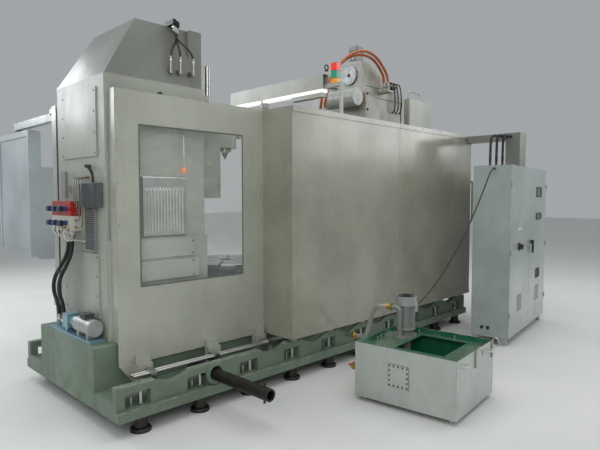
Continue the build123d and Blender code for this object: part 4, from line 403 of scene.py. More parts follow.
def lens(name, first, bands=(), glow=0.25):
    """Signal lens: a first colour, then one per band of height, shaded by noise, with level ribs sin(z / 0.4 mm)."""
    finish = Finish(name, 0.14)
    base = first
    for low, high, colour in bands:
        base = finish.mix((finish.z > low) * (finish.z < high), base, colour)
    depth = finish.noise(30, 3)
    shade = finish.mix(depth.ramp(0.3, 0.7) * 0.3, base, srgb(30, 10, 6))
    finish.feed("Base Color", shade)
    finish.feed("Emission Color", shade)
    finish.feed("Emission Strength", glow)
    finish.feed("Roughness", depth.ramp(0.2, 0.8, 0.1, 0.22))
    finish.feed("Coat Weight", 0.8)
    finish.bump((finish.z * 2500).maths("SINE"), 0.3, 0.0006)
    print(f"{name}: {len(finish.tree.nodes)} nodes")
    return finish


# %% [markdown]
# The greys of the machine. They differ a little from piece to piece, as parts painted at different times do. An edge
# is named by the slim box round it, in metres, and the paint is worn inside that box.

# %% Paints of column, guard and bed
worn_edges = {
    "guard": (
        ((-1.176, None, 0.94), (-1.166, None, 2.126)),
        ((-0.224, None, 0.94), (-0.214, None, 2.126)),
        ((-1.176, None, 0.94), (-0.214, None, 0.95)),
        ((-1.4, None, 2.36), (0.03, None, 2.37)),
        ((-1.4, None, 0.376), (0.03, None, 0.386)),
        ((-1.364, -0.534, 0.3), (-1.352, -0.52, 2.4)),
    ),
    "panel": (
        ((0.0, None, 2.361), (3.3, None, 2.37)),
        ((0.0, None, 0.37), (3.3, None, 0.39)),
        ((0.015, -0.91, 0.3), (0.026, -0.89, 2.4)),
        ((1.598, -0.91, 0.38), (1.612, -0.89, 2.37)),
        ((3.18, -0.91, 0.3), (3.195, -0.88, 2.4)),
    ),
    "bed": (
        ((-1.6, -0.87, 0.332), (3.3, -0.76, 0.345)),
        ((-1.6, -0.91, 0.172), (3.3, -0.85, 0.184)),
        ((-1.6, -0.91, 0.108), (3.3, -0.89, 0.116)),
        ((-1.535, -0.437, 0.19), (-1.52, -0.423, 0.605)),
        ((-1.535, -0.44, 0.593), (-1.52, 0.44, 0.603)),
        ((-1.6, -0.445, 0.593), (3.3, -0.425, 0.603)),
    ),
    "column": (((-1.39, -0.44, 0.56), (-1.378, -0.42, 2.49)), ((-1.4, -0.44, 2.472), (-0.5, 0.44, 2.482))),
    "hood": (((-1.4, -0.44, 2.476), (-0.5, 0.44, 2.488)),),
    "hob": (((1.6, -0.42, 2.81), (2.5, -0.39, 2.824)), ((1.645, -0.416, 0.6), (1.656, -0.4, 3.13))),
}
gearbox_stain = (((1.6, -0.43, 2.5), (1.95, -0.3, 3.1)),)
light_grey = paint("light_grey_paint", srgb(164, 167, 157), 0.34, coat=0.4)
column_grey = paint("tail_column_paint", srgb(158, 162, 152), 0.42, coat=0.2, edges=worn_edges["column"])
hob_grey = paint(
    "hob_column_paint", srgb(156, 158, 147), 0.4, coat=0.25, cloud=0.18, dust=0.4, edges=worn_edges["hob"],
    stains=gearbox_stain, runs=0.55,
)
guard_grey = paint("guard_paint", srgb(166, 169, 157), 0.3, coat=0.55, cloud=0.08, edges=worn_edges["guard"])
panel_grey = paint(
    "enclosure_paint", srgb(148, 146, 132), 0.26, coat=0.75, cloud=0.13, peel=0.3, edges=worn_edges["panel"],
    runs=0.14,
)
hood_grey = paint("hood_paint", srgb(120, 123, 116), 0.4, coat=0.25, edges=worn_edges["hood"])
bed_green = paint(
    "bed_paint", srgb(104, 123, 106), 0.5, peel=0.5, cloud=0.16, dust=0.5, coat=0.1, edges=worn_edges["bed"],
    runs=0.3,
)

# %% [markdown]
# The switch cabinet and the coolant tank stand at an angle to the machine. Their patterns are turned with them, so
# zones and edges are given from each one's own near left corner. The tank is green inside, and the cabinet's mounting
# plate is beige.

# %% Paints of cabinet and tank
cabinet_corner, cabinet_degrees = (2.405, -1.753), 8
cabinet_edges = (
    ((-0.003, -0.003, 0.08), (0.004, 0.004, 1.95)),
    ((-0.1, -0.005, 1.933), (1.7, 0.5, 1.945)),
    ((0.81, -0.01, 0.07), (0.82, 0.03, 1.95)),
    ((1.626, -0.01, 0.07), (1.634, 0.03, 1.95)),
    ((-0.1, -0.01, 0.075), (1.7, 0.03, 0.086)),
)
cabinet_zones = (
    ((0.085, 0.3755, 0.195), (1.545, 0.3965, 1.825), srgb(196, 190, 160)),  # mounting plate
    ((0.1, 0.2, 0.33), (1.53, 0.3757, 1.69), srgb(70, 73, 74)),  # switchgear
    ((-0.032, 0.155, 1.89), (-0.0005, 0.185, 1.92), srgb(60, 62, 62)),  # cable gland
)
cabinet_grey = paint(
    "cabinet_paint", srgb(154, 165, 162), 0.3, peel=0.4, coat=0.7, zones=cabinet_zones, edges=cabinet_edges,
    turn=(cabinet_corner, cabinet_degrees),
)
tank_corner, tank_degrees = (0.22, -2.32), 6
green_inside = srgb(24, 104, 76)
tank_edges = (
    ((-0.01, -0.01, 0.456), (0.75, 0.85, 0.466)),
    ((-0.004, -0.004, 0.0), (0.004, 0.004, 0.47)),
    ((0.726, -0.004, 0.0), (0.734, 0.004, 0.47)),
    ((-0.004, 0.826, 0.0), (0.004, 0.834, 0.47)),
    ((-0.01, -0.01, 0.033), (0.75, 0.85, 0.043)),
)
tank_zones = (
    ((0.002, 0.002, 0.037), (0.728, 0.828, 0.47), green_inside),
    ((0.002, 0.002, 0.41), (0.728, 0.828, 0.4215), srgb(66, 98, 76)),  # sunk deck
    ((-0.009, 0.36, 0.17), (-0.0042, 0.54, 0.35), srgb(46, 46, 44)),  # heads on the access plate
)
tank_grey = paint(
    "tank_paint", srgb(166, 173, 168), 0.28, coat=0.6, dust=0.16, zones=tank_zones, edges=tank_edges, runs=0.1,
    turn=(tank_corner, tank_degrees),
)
tank_green = paint("tank_green_paint", green_inside, 0.35, coat=0.4, dust=0.4)

# %% [markdown]
# Motors, pumps, valves and the console come from other makers and have paints of their own. Zones colour the blocks
# of the valve stack, which is one packed piece. A glowing strip under the cross beam lights the work.

# %% Paints of the bought units
head_grey = paint("head_paint", srgb(150, 154, 148), 0.38, coat=0.3, runs=0.3)
motor_grey = paint("motor_paint", srgb(156, 160, 157), 0.38, coat=0.35, dust=0.4)
barrel = ((-1.53, -0.39, 0.575), (-1.39, -0.115, 0.72), srgb(142, 147, 145))
pump_blue = paint("pump_paint", srgb(104, 138, 152), 0.36, coat=0.4, dust=0.4, zones=(barrel,))
pump_grey = paint("pump_body_paint", srgb(130, 134, 128), 0.42, coat=0.2, dust=0.6)
servo_top = ((1.6, -0.3, 3.262), (1.9, 0.0, 3.4), srgb(120, 126, 122))
servo_grey = paint("servo_paint", srgb(166, 170, 162), 0.34, coat=0.35, runs=0.3, zones=(servo_top,))
valve_black = paint("valve_paint", srgb(60, 62, 64), 0.45, coat=0.1)
console_grey = paint("console_paint", srgb(166, 174, 178), 0.4, peel=0.5)
valve_zones = (
    ((-1.48, -0.01, 1.454), (-1.38, 0.38, 1.57), srgb(170, 34, 28)),
    ((-1.54, -0.01, 1.3), (-1.4655, 0.38, 1.57), srgb(36, 66, 110)),
    ((-1.5, 0.15, 1.575), (-1.38, 0.23, 1.81), srgb(146, 150, 150)),
    ((-1.46, -0.4, 1.52), (-1.38, -0.09, 1.71), srgb(84, 88, 86)),
    ((-1.42, -0.3, 1.19), (-1.38, -0.13, 1.527), srgb(128, 132, 128)),
)
valve_paint = paint("valve_block_paint", srgb(206, 204, 192), 0.36, coat=0.3, dust=0.4, zones=valve_zones, runs=0.3)
beam_grey = paint("beam_paint", srgb(160, 160, 150), 0.35)
strip = beam_grey.inside((0.62, -0.7, 2.588), (0.7, 0.7, 2.6195))
beam_grey.feed("Emission Color", beam_grey.mix(strip, (0, 0, 0, 1), srgb(250, 252, 248)))
beam_grey.feed("Emission Strength", 0.9)

# %% [markdown]
# The bare metals, rubbers, plastics and lenses in use. The fittings on the hood hang from a dark block, so their
# colour changes with height.

# %% Metals, rubbers and plastics in use
bright_steel = steel("bright_steel", srgb(186, 186, 182), 0.24)
dull_steel = steel("dull_steel", srgb(150, 149, 145), 0.38, stain=0.5, rust=0.3)
fitting_steel = steel("fitting_steel", srgb(158, 158, 152), 0.32, stain=0.5, rust=0.2)
block = fitting_steel.z.ramp(2.895, 2.9)
clouded = fitting_steel.mix(fitting_steel.noise(40, 3), srgb(120, 120, 114), srgb(180, 180, 172))
fitting_steel.feed("Base Color", fitting_steel.mix(block, clouded, srgb(58, 66, 62)))
dark_iron = steel("dark_iron", srgb(74, 72, 70), 0.5, stain=0.6, rust=0.5)
table_steel = lathe_steel("table_steel", srgb(168, 170, 170), 0.26, True, (0.0, 0.0), 0.0)
sheet_steel = steel("sheet_steel", srgb(196, 198, 194), 0.3, (60, 1, 1), stain=0.35)
disc_steel = lathe_steel("disc_steel", srgb(150, 152, 152), 0.36, False, (-0.178, 2.985), 0.022)
gold_steel = steel("coated_steel", srgb(196, 158, 92), 0.3)
brass = steel("brass", srgb(190, 150, 84), 0.32)
black_rubber = rubber("black_rubber", srgb(26, 26, 27))
orange_rubber = rubber("orange_rubber", srgb(164, 84, 38), 0.42, 0.5)
grey_rubber = rubber("grey_rubber", srgb(92, 95, 90))
silver_rubber = rubber("silver_rubber", srgb(158, 158, 150), 0.38, 0.8)
black_plastic = plastic("black_plastic", srgb(30, 30, 32))
dark_plastic = plastic("dark_plastic", srgb(62, 66, 68), 0.5)
duct_plastic = plastic("duct_plastic", srgb(142, 150, 156), 0.45)
white_plastic = plastic("white_plastic", srgb(222, 222, 214), 0.35)
red_plastic = plastic("red_plastic", srgb(180, 30, 26), 0.3)
dark_glass = plastic("dark_glass", srgb(24, 30, 34), 0.12, 40)
clear_pane = glass("clear_pane")
amber_lens = lens("amber_lens", srgb(232, 120, 20), glow=0.6)
stack_bands = (
    (2.677, 2.748, srgb(236, 150, 30)),
    (2.752, 2.823, srgb(20, 140, 110)),
    (2.827, 2.898, srgb(226, 52, 24)),
)
stack_lens = lens("stack_lens", srgb(36, 36, 36), stack_bands, 0.35)

# %% [markdown]
# Each packed node takes one finish. Its mesh stays as it came, and only the slots get the new material. The list
# reads as a parts list: one finish, and the names of the nodes that have it.

# %% Finishes on the packed nodes
finishes = {
    light_grey: "table_pedestal tailstock axial_slide rear_guard operator_door rear_box",
    hob_grey: "main_column top_gearbox hose_bracket",
    column_grey: "tail_column",
    guard_grey: "front_guard",
    panel_grey: "front_panels",
    hood_grey: "column_hood cable_duct",
    bed_green: "bed",
    cabinet_grey: "cabinet_body cabinet_door_left cabinet_door_right",
    tank_grey: "coolant_tank access_plate",
    head_grey: "hob_swivel shift_slide",
    motor_grey: "pump_motor",
    pump_blue: "pump_unit",
    pump_grey: "pump_body",
    servo_grey: "feed_servo accumulator",
    valve_black: "column_valves",
    valve_paint: "valve_manifold",
    beam_grey: "cross_beam",
    console_grey: "console console_arm",
    disc_steel: "disc_cover",
    bright_steel: "tail_cylinder shoulder_pipes live_centre levelling_screws",
    fitting_steel: "hood_fittings",
    dark_iron: "levelling_pads lifting_bar",
    table_steel: "rotary_table",
    sheet_steel: "way_cover_1 way_cover_2 way_cover_3",
    gold_steel: "hob",
    brass: "drain_valve",
    red_plastic: "drain_lever",
    stack_lens: "stack_light",
    black_plastic: "cabinet_handle",
    black_rubber: "hood_hose_left hood_hose_middle hood_hose_right left_hose_1 left_hose_2 pump_cable",
    orange_rubber: "hob_hose_left hob_hose_right",
    silver_rubber: "coolant_hose",
    clear_pane: "front_window door_window",
}
for finish, names in finishes.items():
    for name in names.split():
        for slot in nodes[name].material_slots:
            slot.material = finish.material
print(sum(len(names.split()) for names in finishes.values()), "nodes in", len(finishes), "finishes")

# %% [markdown]
# Hoses hang in smooth curves from fitting to fitting. A quadratic spline stays inside its control points and leaves
# both ends straight along the fittings, so a few points read off the photograph are enough.


# %% Smooth curves
def curve(points, steps=10):
    """Quadratic spline from the first to the last point: (1-t)^2 a + 2t(1-t) b + t^2 c between run middles."""
    spots = np.array(points, float)
    ends = np.concatenate((spots[:1], (spots[1:-2] + spots[2:-1]) / 2, spots[-1:]))
    a, b, c = ends[:-1, None], spots[1:-1, None], ends[1:, None]
    t = np.linspace(0, 1, steps, endpoint=False)[:, None]
    arcs = (1 - t) ** 2 * a + 2 * t * (1 - t) * b + t**2 * c
    return np.concatenate((arcs.reshape(-1, 3), spots[-1:]))


def distance_along(path):
    """Way from the start of a path to each of its points: the running sum of the step lengths."""
    return np.concatenate(([0], np.cumsum(np.linalg.norm(np.diff(path, axis=0), axis=1))))


def spline_length(points):
    """Length of the quadratic spline through the control points, in metres."""
    return float(distance_along(curve(points, 59))[-1])


def smooth_cord(name, points, diameter, finish):
    """Curve with the route's points as control points of a quadratic spline, round in section."""
    data = bpy.data.curves.new(name, "CURVE")
    data.dimensions = "3D"
    spline = data.splines.new("NURBS")
    spline.points.add(len(points) - 1)
    spline.points.foreach_set("co", np.column_stack((points, np.ones(len(points)))).ravel())
    spline.order_u = 3
    spline.use_endpoint_u = True
    spline.resolution_u = 16
    data.bevel_depth = diameter / 2
    data.bevel_resolution = 6
    data.use_fill_caps = True
    cord = bpy.data.objects.new(name, data)
    scene.collection.objects.link(cord)
    data.materials.append(finish.material)
    return cord


print("a right angle of two 1 m runs is", round(spline_length(((0, 0, 0), (1, 0, 0), (1, 1, 0))), 3), "m as a spline")

# %% [markdown]
# Routes. Three thin hoses run down in front of the hood. The coolant hose leaves the pump along the tank's side and
# falls behind its corner. The pump's cable hangs as a parabola between the cabinet and the motor.

# %% Routes of hoses and cable
hose_rises = (
    (2.925, 0), (2.888, 0), (2.851, 0.09), (2.812, 0.3), (2.768, 0.7), (2.729, 0.91), (2.692, 1), (2.655, 1),
)


def hood_route(top, foot):
    """Route of a hood hose from its top fitting (x, y) to its lower fitting (x, y)."""
    return [(top[0] + (foot[0] - top[0]) * s, top[1] + (foot[1] - top[1]) * s, z) for z, s in hose_rises]


hose_turn = radians(tank_degrees)
hose_side = Vector((-sin(hose_turn), cos(hose_turn), 0))
outlet = (tank_corner[0] + 0.45 * cos(hose_turn), tank_corner[1] + 0.45 * sin(hose_turn), 0.675)
hose_start = Vector(outlet) + 0.75 * hose_side
hose_bend = hose_start + 0.12 * hose_side
hose_fall = Vector((0.84, -1.03, 0.27)) - hose_bend
coolant_route = [tuple(hose_start), tuple(hose_bend)]
for share, drop in ((0.28, 0.14), (0.52, 0.42), (0.76, 0.78), (1, 1)):
    coolant_route.append(tuple(hose_bend + Vector((hose_fall.x * share, hose_fall.y * share, hose_fall.z * drop))))
coolant_route.append((0.84, -0.9, 0.27))

cable_start, first_hang = Vector((2.3516, -1.5888, 1.905)), Vector((2.2625, -1.6014, 1.905))
cable_end, last_hang = Vector((0.867, -1.5683, 0.65)), Vector((0.9366, -1.5609, 0.65))
cable_sag = 0.17
cable_route = [tuple(cable_start)]
for i in range(10):
    share = i / 9
    hang = first_hang.lerp(last_hang, share)
    cable_route.append((hang.x, hang.y, hang.z - 4 * cable_sag * share * (1 - share)))
cable_route.append(tuple(cable_end))

hob_left_route = (
    (1.06, -0.33, 2.484), (1.06, -0.33, 2.644), (1.13, -0.379, 2.879), (1.29, -0.423, 3.095), (1.52, -0.465, 3.203),
    (1.74, -0.477, 3.175), (1.88, -0.483, 3.069), (1.94, -0.507, 2.96), (1.94, -0.507, 2.85),
)
hob_right_route = (
    (1.06, -0.27, 2.484), (1.06, -0.27, 2.644), (1.13, -0.331, 2.861), (1.29, -0.387, 3.065), (1.52, -0.435, 3.167),
    (1.74, -0.447, 3.145), (1.88, -0.441, 3.051), (1.94, -0.453, 2.96), (1.94, -0.453, 2.85),
)
end_route_1 = (
    (-1.44, 0.04, 1.31), (-1.44, 0.04, 1.2), (-1.455, 0.095, 1.09), (-1.483, 0.2, 0.96), (-1.487, 0.215, 0.84),
    (-1.462, 0.18, 0.73), (-1.462, 0.18, 0.61),
)
end_route_2 = (
    (-1.44, 0.11, 1.31), (-1.44, 0.11, 1.2), (-1.455, 0.18, 1.09), (-1.483, 0.31, 0.96), (-1.487, 0.33, 0.84),
    (-1.462, 0.28, 0.73), (-1.462, 0.28, 0.61),
)
print("the cable hangs", cable_sag, "m below its chord")

# %% [markdown]
# Each cord replaces the packed node of its name and rides on the body that carries it. A row of the list gives its
# route, thickness, finish, body and how stiffly it hangs, and its length is printed.

# %% Cords
cord_list = {
    "hood_hose_left": (hood_route((-0.758, -0.3963), (-0.845, -0.4374)), 0.016, black_rubber, "frame", "medium"),
    "hood_hose_middle": (hood_route((-0.788, -0.4183), (-0.772, -0.4594)), 0.016, black_rubber, "frame", "medium"),
    "hood_hose_right": (hood_route((-0.818, -0.4403), (-0.668, -0.4814)), 0.016, black_rubber, "frame", "medium"),
    "hob_hose_left": (hob_left_route, 0.03, orange_rubber, "hob_column", "stiff"),
    "hob_hose_right": (hob_right_route, 0.03, orange_rubber, "hob_column", "stiff"),
    "coolant_hose": (coolant_route, 0.038, silver_rubber, "frame", "limp"),
    "left_hose_1": (end_route_1, 0.03, black_rubber, "frame", "stiff"),
    "left_hose_2": (end_route_2, 0.03, black_rubber, "frame", "stiff"),
    "pump_cable": (cable_route, 0.014, black_rubber, "frame", "medium"),
}
for name, (points, diameter, finish, body, stiffness) in cord_list.items():
    cord = smooth_cord(f"{name}_line", points, diameter, finish)
    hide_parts(name)
    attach(cord, body)
    print(f"{name}: {spline_length(points):.3f} m")

# %% [markdown]
# New pieces are surfaces worked out with numpy: solids of revolution, tubes along a path, bevelled slabs and height
# fields. A part is a pair of points and index arrays. A list of parts becomes one welded mesh with its normals
# outward, and rides on its body. Its object stays at the origin, so patterns find every point in the machine's own
# frame.


# %% Pieces from arrays
def piece(name, parts, finish, body="frame", sharp=35):
    """One mesh object from (points, faces) parts, riding on a body; edges over sharp degrees stay crisp."""
    starts = np.cumsum([0, *(len(points) for points, _ in parts)])
    points = np.concatenate([points for points, _ in parts])
    blocks = [block + start for (_, part_faces), start in zip(parts, starts) for block in part_faces]
    faces = [face for block in blocks for face in block.tolist()]
    mesh = bpy.data.meshes.new(name)
    mesh.from_pydata(points, [], faces)
    shell = bmesh.new()
    shell.from_mesh(mesh)
    bmesh.ops.remove_doubles(shell, verts=shell.verts, dist=1e-6)
    bmesh.ops.recalc_face_normals(shell, faces=shell.faces)
    shell.to_mesh(mesh)
    shell.free()
    mesh.polygons.foreach_set("use_smooth", [True] * len(mesh.polygons))
    mesh.set_sharp_from_angle(angle=radians(sharp))
    mesh.materials.append(finish.material)
    made = bpy.data.objects.new(name, mesh)
    scene.collection.objects.link(made)
    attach(made, body)
    print(f"{name}: {len(parts)} parts, {len(mesh.polygons)} faces, on {body}")


def axes(way):
    """Right-handed frame of unit rows whose third row is the given way."""
    w = np.array(way, float) / np.linalg.norm(way)
    seed = (0, 0, 1) if abs(w[2]) < 0.9 else (1, 0, 0)
    u = np.cross(seed, w)
    u /= np.linalg.norm(u)
    return np.array((u, np.cross(w, u), w))


def lofted(rings):
    """Closed skin over equal rings: corner i of a ring joins i + 1 and the next ring; a flat cap closes each end."""
    rings = np.array(rings)
    levels, count = rings.shape[:2]
    low = np.arange(levels - 1)[:, None] * count
    i = np.arange(count)
    j = (i + 1) % count
    quads = np.stack((low + i, low + j, low + count + j, low + count + i), -1).reshape(-1, 4)
    caps = np.stack((i[::-1], (levels - 1) * count + i))
    return rings.reshape(-1, 3), [quads, caps]


# %% [markdown]
# Three basic forms make nearly all the fittings: what is turned on a lathe, what is bent from bar or pipe, and what is
# cut from plate. Real edges have a small bevel, and it is what catches the light, so a slab has it from the start and
# needs no Bevel modifier.


# %% Basic forms
def turned_part(profile, place, way, count=20):
    """Solid of revolution: (r cos t, r sin t, h) for each (r, h) of the profile, from place along way."""
    t = np.arange(count) * 2 * pi / count
    r, h = np.array(profile, float).T[:, :, None]
    spots, faces = lofted(np.stack((r * np.cos(t), r * np.sin(t), h + 0 * t), -1))
    return spots @ axes(way) + np.array(place), faces


def tube(path, radius, count=12):
    """Tube of radius(s) along a path, p(s) + r(s) (u cos t + v sin t), with u carried along without twist."""
    path = np.array(path, float)
    radii = np.broadcast_to(radius, len(path))
    ways = np.gradient(path, axis=0)
    ways /= np.linalg.norm(ways, axis=1)[:, None]
    t = np.arange(count)[:, None] * 2 * pi / count
    u = axes(ways[0])[0]
    rings = []
    for spot, way, r in zip(path, ways, radii):
        u = u - way * (u @ way)
        u /= np.linalg.norm(u)
        rings.append(spot + r * (np.cos(t) * u + np.sin(t) * np.cross(way, u)))
    return lofted(rings)


corner_side = np.array(((0, 1, 1, 1, 1, 0, 0, 0), (0, 0, 0, 1, 1, 1, 1, 0)))
corner_cut = np.array(((1, 1, 0, 0, 1, 1, 0, 0), (0, 0, 1, 1, 0, 0, 1, 1))) * (1 - 2 * corner_side)


def slab(low, high, edge=0.0015):
    """Box with bevelled edges: four eight-cornered rings, each corner at a side, inset and cut back by edge."""
    inset = np.array((edge, 0, 0, edge))[:, None]
    x = np.where(corner_side[0], high[0] - inset, low[0] + inset) + corner_cut[0] * edge
    y = np.where(corner_side[1], high[1] - inset, low[1] + inset) + corner_cut[1] * edge
    z = np.array((low[2], low[2] + edge, high[2] - edge, high[2]))[:, None]
    return lofted(np.stack((x, y, z + 0 * x), -1))


print("a slab has", len(slab((0, 0, 0), (1, 1, 1))[0]), "points")

# %% [markdown]
# Small parts made from those forms: frames, screws, nuts and ribbed conduit. Each takes its place, the way that it looks
# and one or two sizes, so a row of them is one line.


# %% Frames, screws, nuts and conduit
def ring_frame(low, high, width, depth, axis=1, edge=0.0012):
    """Four bevelled bars round an opening across the axis: two run through the corners, two fit between them."""
    low, high = np.array(low, float), np.array(high, float)
    across = [i for i in range(3) if i != axis]
    bars = []
    for i, j in (across, across[::-1]):
        for side in (0, 1):
            a, b = low.copy(), high.copy()
            a[j], b[j] = (low[j] - width, low[j]) if side == 0 else (high[j], high[j] + width)
            a[i], b[i] = (low[i] - width, high[i] + width) if j == across[1] else (low[i], high[i])
            a[axis], b[axis] = min(low[axis], low[axis] + depth), max(low[axis], low[axis] + depth)
            bars.append(slab(a, b, edge))
    return bars


def screw(place, way, r, h):
    """Socket head screw: chamfered cap of radius r and height h with a sunk socket."""
    profile = [(r, 0), (r, 0.78 * h), (0.88 * r, h), (0.52 * r, h), (0.48 * r, 0.45 * h), (0.0003, 0.4 * h)]
    return turned_part(profile, place, way, 16)


def hexagon(place, way, r, h):
    """Hexagon head or nut of corner radius r with chamfered rims."""
    return turned_part([(0.9 * r, 0), (r, 0.12 * h), (r, 0.86 * h), (0.88 * r, h)], place, way, 6)


def corrugated(path, radius, wave, pitch):
    """Ribbed conduit: a tube of radius r(s) = radius + wave sin(2 pi s / pitch)."""
    return tube(path, radius + wave * np.sin(2 * pi * distance_along(path) / pitch), 14)


print("a screw has", len(screw((0, 0, 0), (0, 0, 1), 1, 1)[0]), "points")

# %% [markdown]
# The cabinet and the tank are drawn from their own near left corner, where u runs along the doors or the near wall
# and v goes in. Turning and placing them comes last, so their numbers stay easy to read.


# %% Turned cabinets
def standing(part, corner, degrees):
    """A part drawn in a cabinet's own (u, v, z), turned about Z and put at its corner."""
    spots, faces = part
    c, s = cos(radians(degrees)), sin(radians(degrees))
    u, v, z = spots.T
    return np.stack((corner[0] + c * u - s * v, corner[1] + s * u + c * v, z), 1), faces


def in_cabinet(part):
    """A part of the switch cabinet, drawn from the near left corner of its doors."""
    return standing(part, cabinet_corner, cabinet_degrees)


def in_tank(part):
    """A part of the coolant tank, drawn from its near left corner."""
    return standing(part, tank_corner, tank_degrees)


print("cabinet turned by", cabinet_degrees, "and tank by", tank_degrees, "degrees")

# %% [markdown]
# Socket head screws hold the covers of the tailstock column, the hob column's corner strips, the swivel's bolt ring,
# the round cover on the gear box and the rims of the panels. A cylinder with a Bevel modifier would do too. One
# turned profile is used instead, because the sunk socket comes with it and a head has few faces. Rows and rings are
# lists over heights and angles.

# %% Screws
cover_x, panel_y, disc_x, ring_x = -1.3865, -0.9079, 1.6385, 1.3295
cover_heights = (0.725, 0.8683, 1.0117, 1.155, 1.925, 2.075, 2.225, 2.375)
heads = [screw((cover_x, y, z), (-1, 0, 0), 0.0062, 0.011) for y in (-0.285, 0.285) for z in cover_heights]
piece("tail_cover_screws", heads, dark_iron)
heads = [
    screw((disc_x, -0.178 + 0.092 * cos(a), 2.985 + 0.092 * sin(a)), (-1, 0, 0), 0.0043, 0.0055)
    for a in np.arange(6) * pi / 3
]
piece("disc_screws", heads, dark_iron, "hob_column")
heads = [
    screw((ring_x, 0.235 * cos(a), 1.45 + 0.235 * sin(a)), (-1, 0, 0), 0.0098, 0.0185)
    for a in radians(15) + np.arange(12) * pi / 6
]
piece("swivel_screws", heads, dark_iron, "swivel_head")
heads = [screw((0.12 + 0.384 * i, panel_y, 2.352), (0, -1, 0), 0.0055, 0.004) for i in range(9) if i != 4]
guard_heights = np.linspace(0.5, 2.3, 7)
heads += [screw((x, -0.5299, z), (0, -1, 0), 0.005, 0.0035) for x in (-1.34, 0.0) for z in guard_heights]
piece("panel_screws", heads, bright_steel)
heads = [
    screw((1.68, side * 0.4122, 2.76 - 0.175 * i), (0, side, 0), 0.0132, 0.009) for side in (-1, 1) for i in range(12)
]
piece("strip_screws", heads, dark_iron, "hob_column")

# %% [markdown]
# A rubber lip runs round the guard's opening and round the door's pane. A tube along a path would be round, and this
# lip is flat, so it is four slim bevelled bars.

# %% Gaskets
guard_lip = ring_frame((-1.17, -0.5302, 0.946), (-0.22, -0.5302, 2.12), 0.009, -0.003)
piece("guard_gasket", guard_lip, grey_rubber)
door_lip = ring_frame((-1.1498, 0.6532, 1.1052), (-0.4502, 0.6532, 2.0248), 0.014, 0.003)
piece("door_gasket", door_lip, black_rubber, "sliding_door")

# %% [markdown]
# Behind the guard's window the tailstock column carries a pressed sheet cover with upright ribs. Pressed sheet is a
# height field: the depth at each point of a grid is the product of a rim that falls off and a row of half sines.


# %% Ribbed cover on the tailstock column
def ribbed_cover(left, right, low, high, back, depth, ribs):
    """Pressed cover, y = back - depth e(u) e(v) - 7 mm r(u) r(v): e falls to 0 at the rim, r is a row of half sines."""
    rim_width, rib_depth = 0.02, 0.007
    nu, nv = 24 * ribs, 60
    u, v = np.meshgrid(np.linspace(0, 1, nu), np.linspace(0, 1, nv))
    edge_u = np.clip(np.minimum(u, 1 - u) * (right - left) / rim_width, 0, 1)
    edge_v = np.clip(np.minimum(v, 1 - v) * (high - low) / rim_width, 0, 1)
    rim = np.sin(edge_u * pi / 2) * np.sin(edge_v * pi / 2)
    span = np.clip((u - 0.06) / 0.88, 0, 1)
    wave = np.abs(np.sin(pi * ribs * span)) ** 0.7 * (span > 0) * (span < 1)
    bar = np.clip(np.minimum(v - 0.07, 0.8 - v) / 0.03, 0, 1)
    y = back - depth * rim - rib_depth * wave * np.sin(bar * pi / 2)
    front = np.stack((left + u * (right - left), y, low + v * (high - low)), -1).reshape(-1, 3)
    index = np.arange(nu * nv).reshape(nv, nu)
    quads = np.stack((index[:-1, :-1], index[:-1, 1:], index[1:, 1:], index[1:, :-1]), -1).reshape(-1, 4)
    outline = np.concatenate((index[-2:0:-1, 0], index[0], index[1:-1, -1], index[-1, ::-1]))
    return front, [quads, outline[None]]


piece("ribbed_cover", [ribbed_cover(-1.12, -0.72, 1.29, 1.765, -0.4302, 0.024, 13)], sheet_steel, sharp=60)

# %% [markdown]
# Below it are two plain cover plates with screws, and beside it hangs a small orange signal lamp on a bent rod. The
# plates are bevelled slabs, the rod is a tube along four points, and the lamp's dome is a turned profile that closes
# at its tip.

# %% Cover plates and signal lamp
plates = [
    slab((-1.17, -0.462, 1.13), (-0.66, -0.4462, 1.27), 0.003),
    slab((-1.19, -0.472, 0.96), (-0.62, -0.4462, 1.11), 0.004),
]
piece("column_plates", plates, light_grey)
head_places = ((-0.4618, 1.15), (-0.4618, 1.25), (-0.4718, 0.98), (-0.4718, 1.09))
heads = [screw((x, y, z), (0, -1, 0), 0.006, 0.006) for x in (-1.15, -0.68) for y, z in head_places]
piece("plate_screws", heads, dark_iron)
rod_x, rod_y = -0.76, -0.474
rod = [tube([(rod_x, -0.432, 2.1), (rod_x, -0.47, 2.1), (rod_x, rod_y, 2.09), (rod_x, rod_y, 1.83)], 0.007)]
rod.append(slab((-0.79, -0.437, 2.07), (-0.73, -0.4302, 2.13)))
piece("lamp_rod", rod, bright_steel)
dome = [(0.016, 0), (0.018, 0.003), (0.018, 0.03), (0.0165, 0.039), (0.012, 0.046), (0.006, 0.049), (0.0004, 0.05)]
piece("signal_lamp", [turned_part(dome, (rod_x, rod_y, 1.832), (0, 0, -1), 24)], amber_lens)

# %% [markdown]
# Each hose leaves a crimped sleeve with a hexagon nut. The sleeve is a profile of revolution with three waists, where
# the press closed it on the rubber. They are in the profile and not in a bump pattern, because its outline is seen
# from the side. The cable has plain glands.


# %% Hose ends
def hose_end(place, way, radius, length):
    """Crimped sleeve and nut: radius r(h) = 1.3 r - 0.12 r |sin(3 pi h)| over the crimped part."""
    waists = [
        (radius * 1.3 - radius * 0.12 * abs(sin(3 * pi * k / 12)), length * (0.36 + 0.64 * k / 12)) for k in range(13)
    ]
    sleeve = [(radius * 1.2, 0), (radius * 1.24, length * 0.34), *waists, (radius * 1.02, length * 1.02)]
    return [turned_part(sleeve, place, way, 20), hexagon(place, way, radius * 1.62, length * 0.34)]


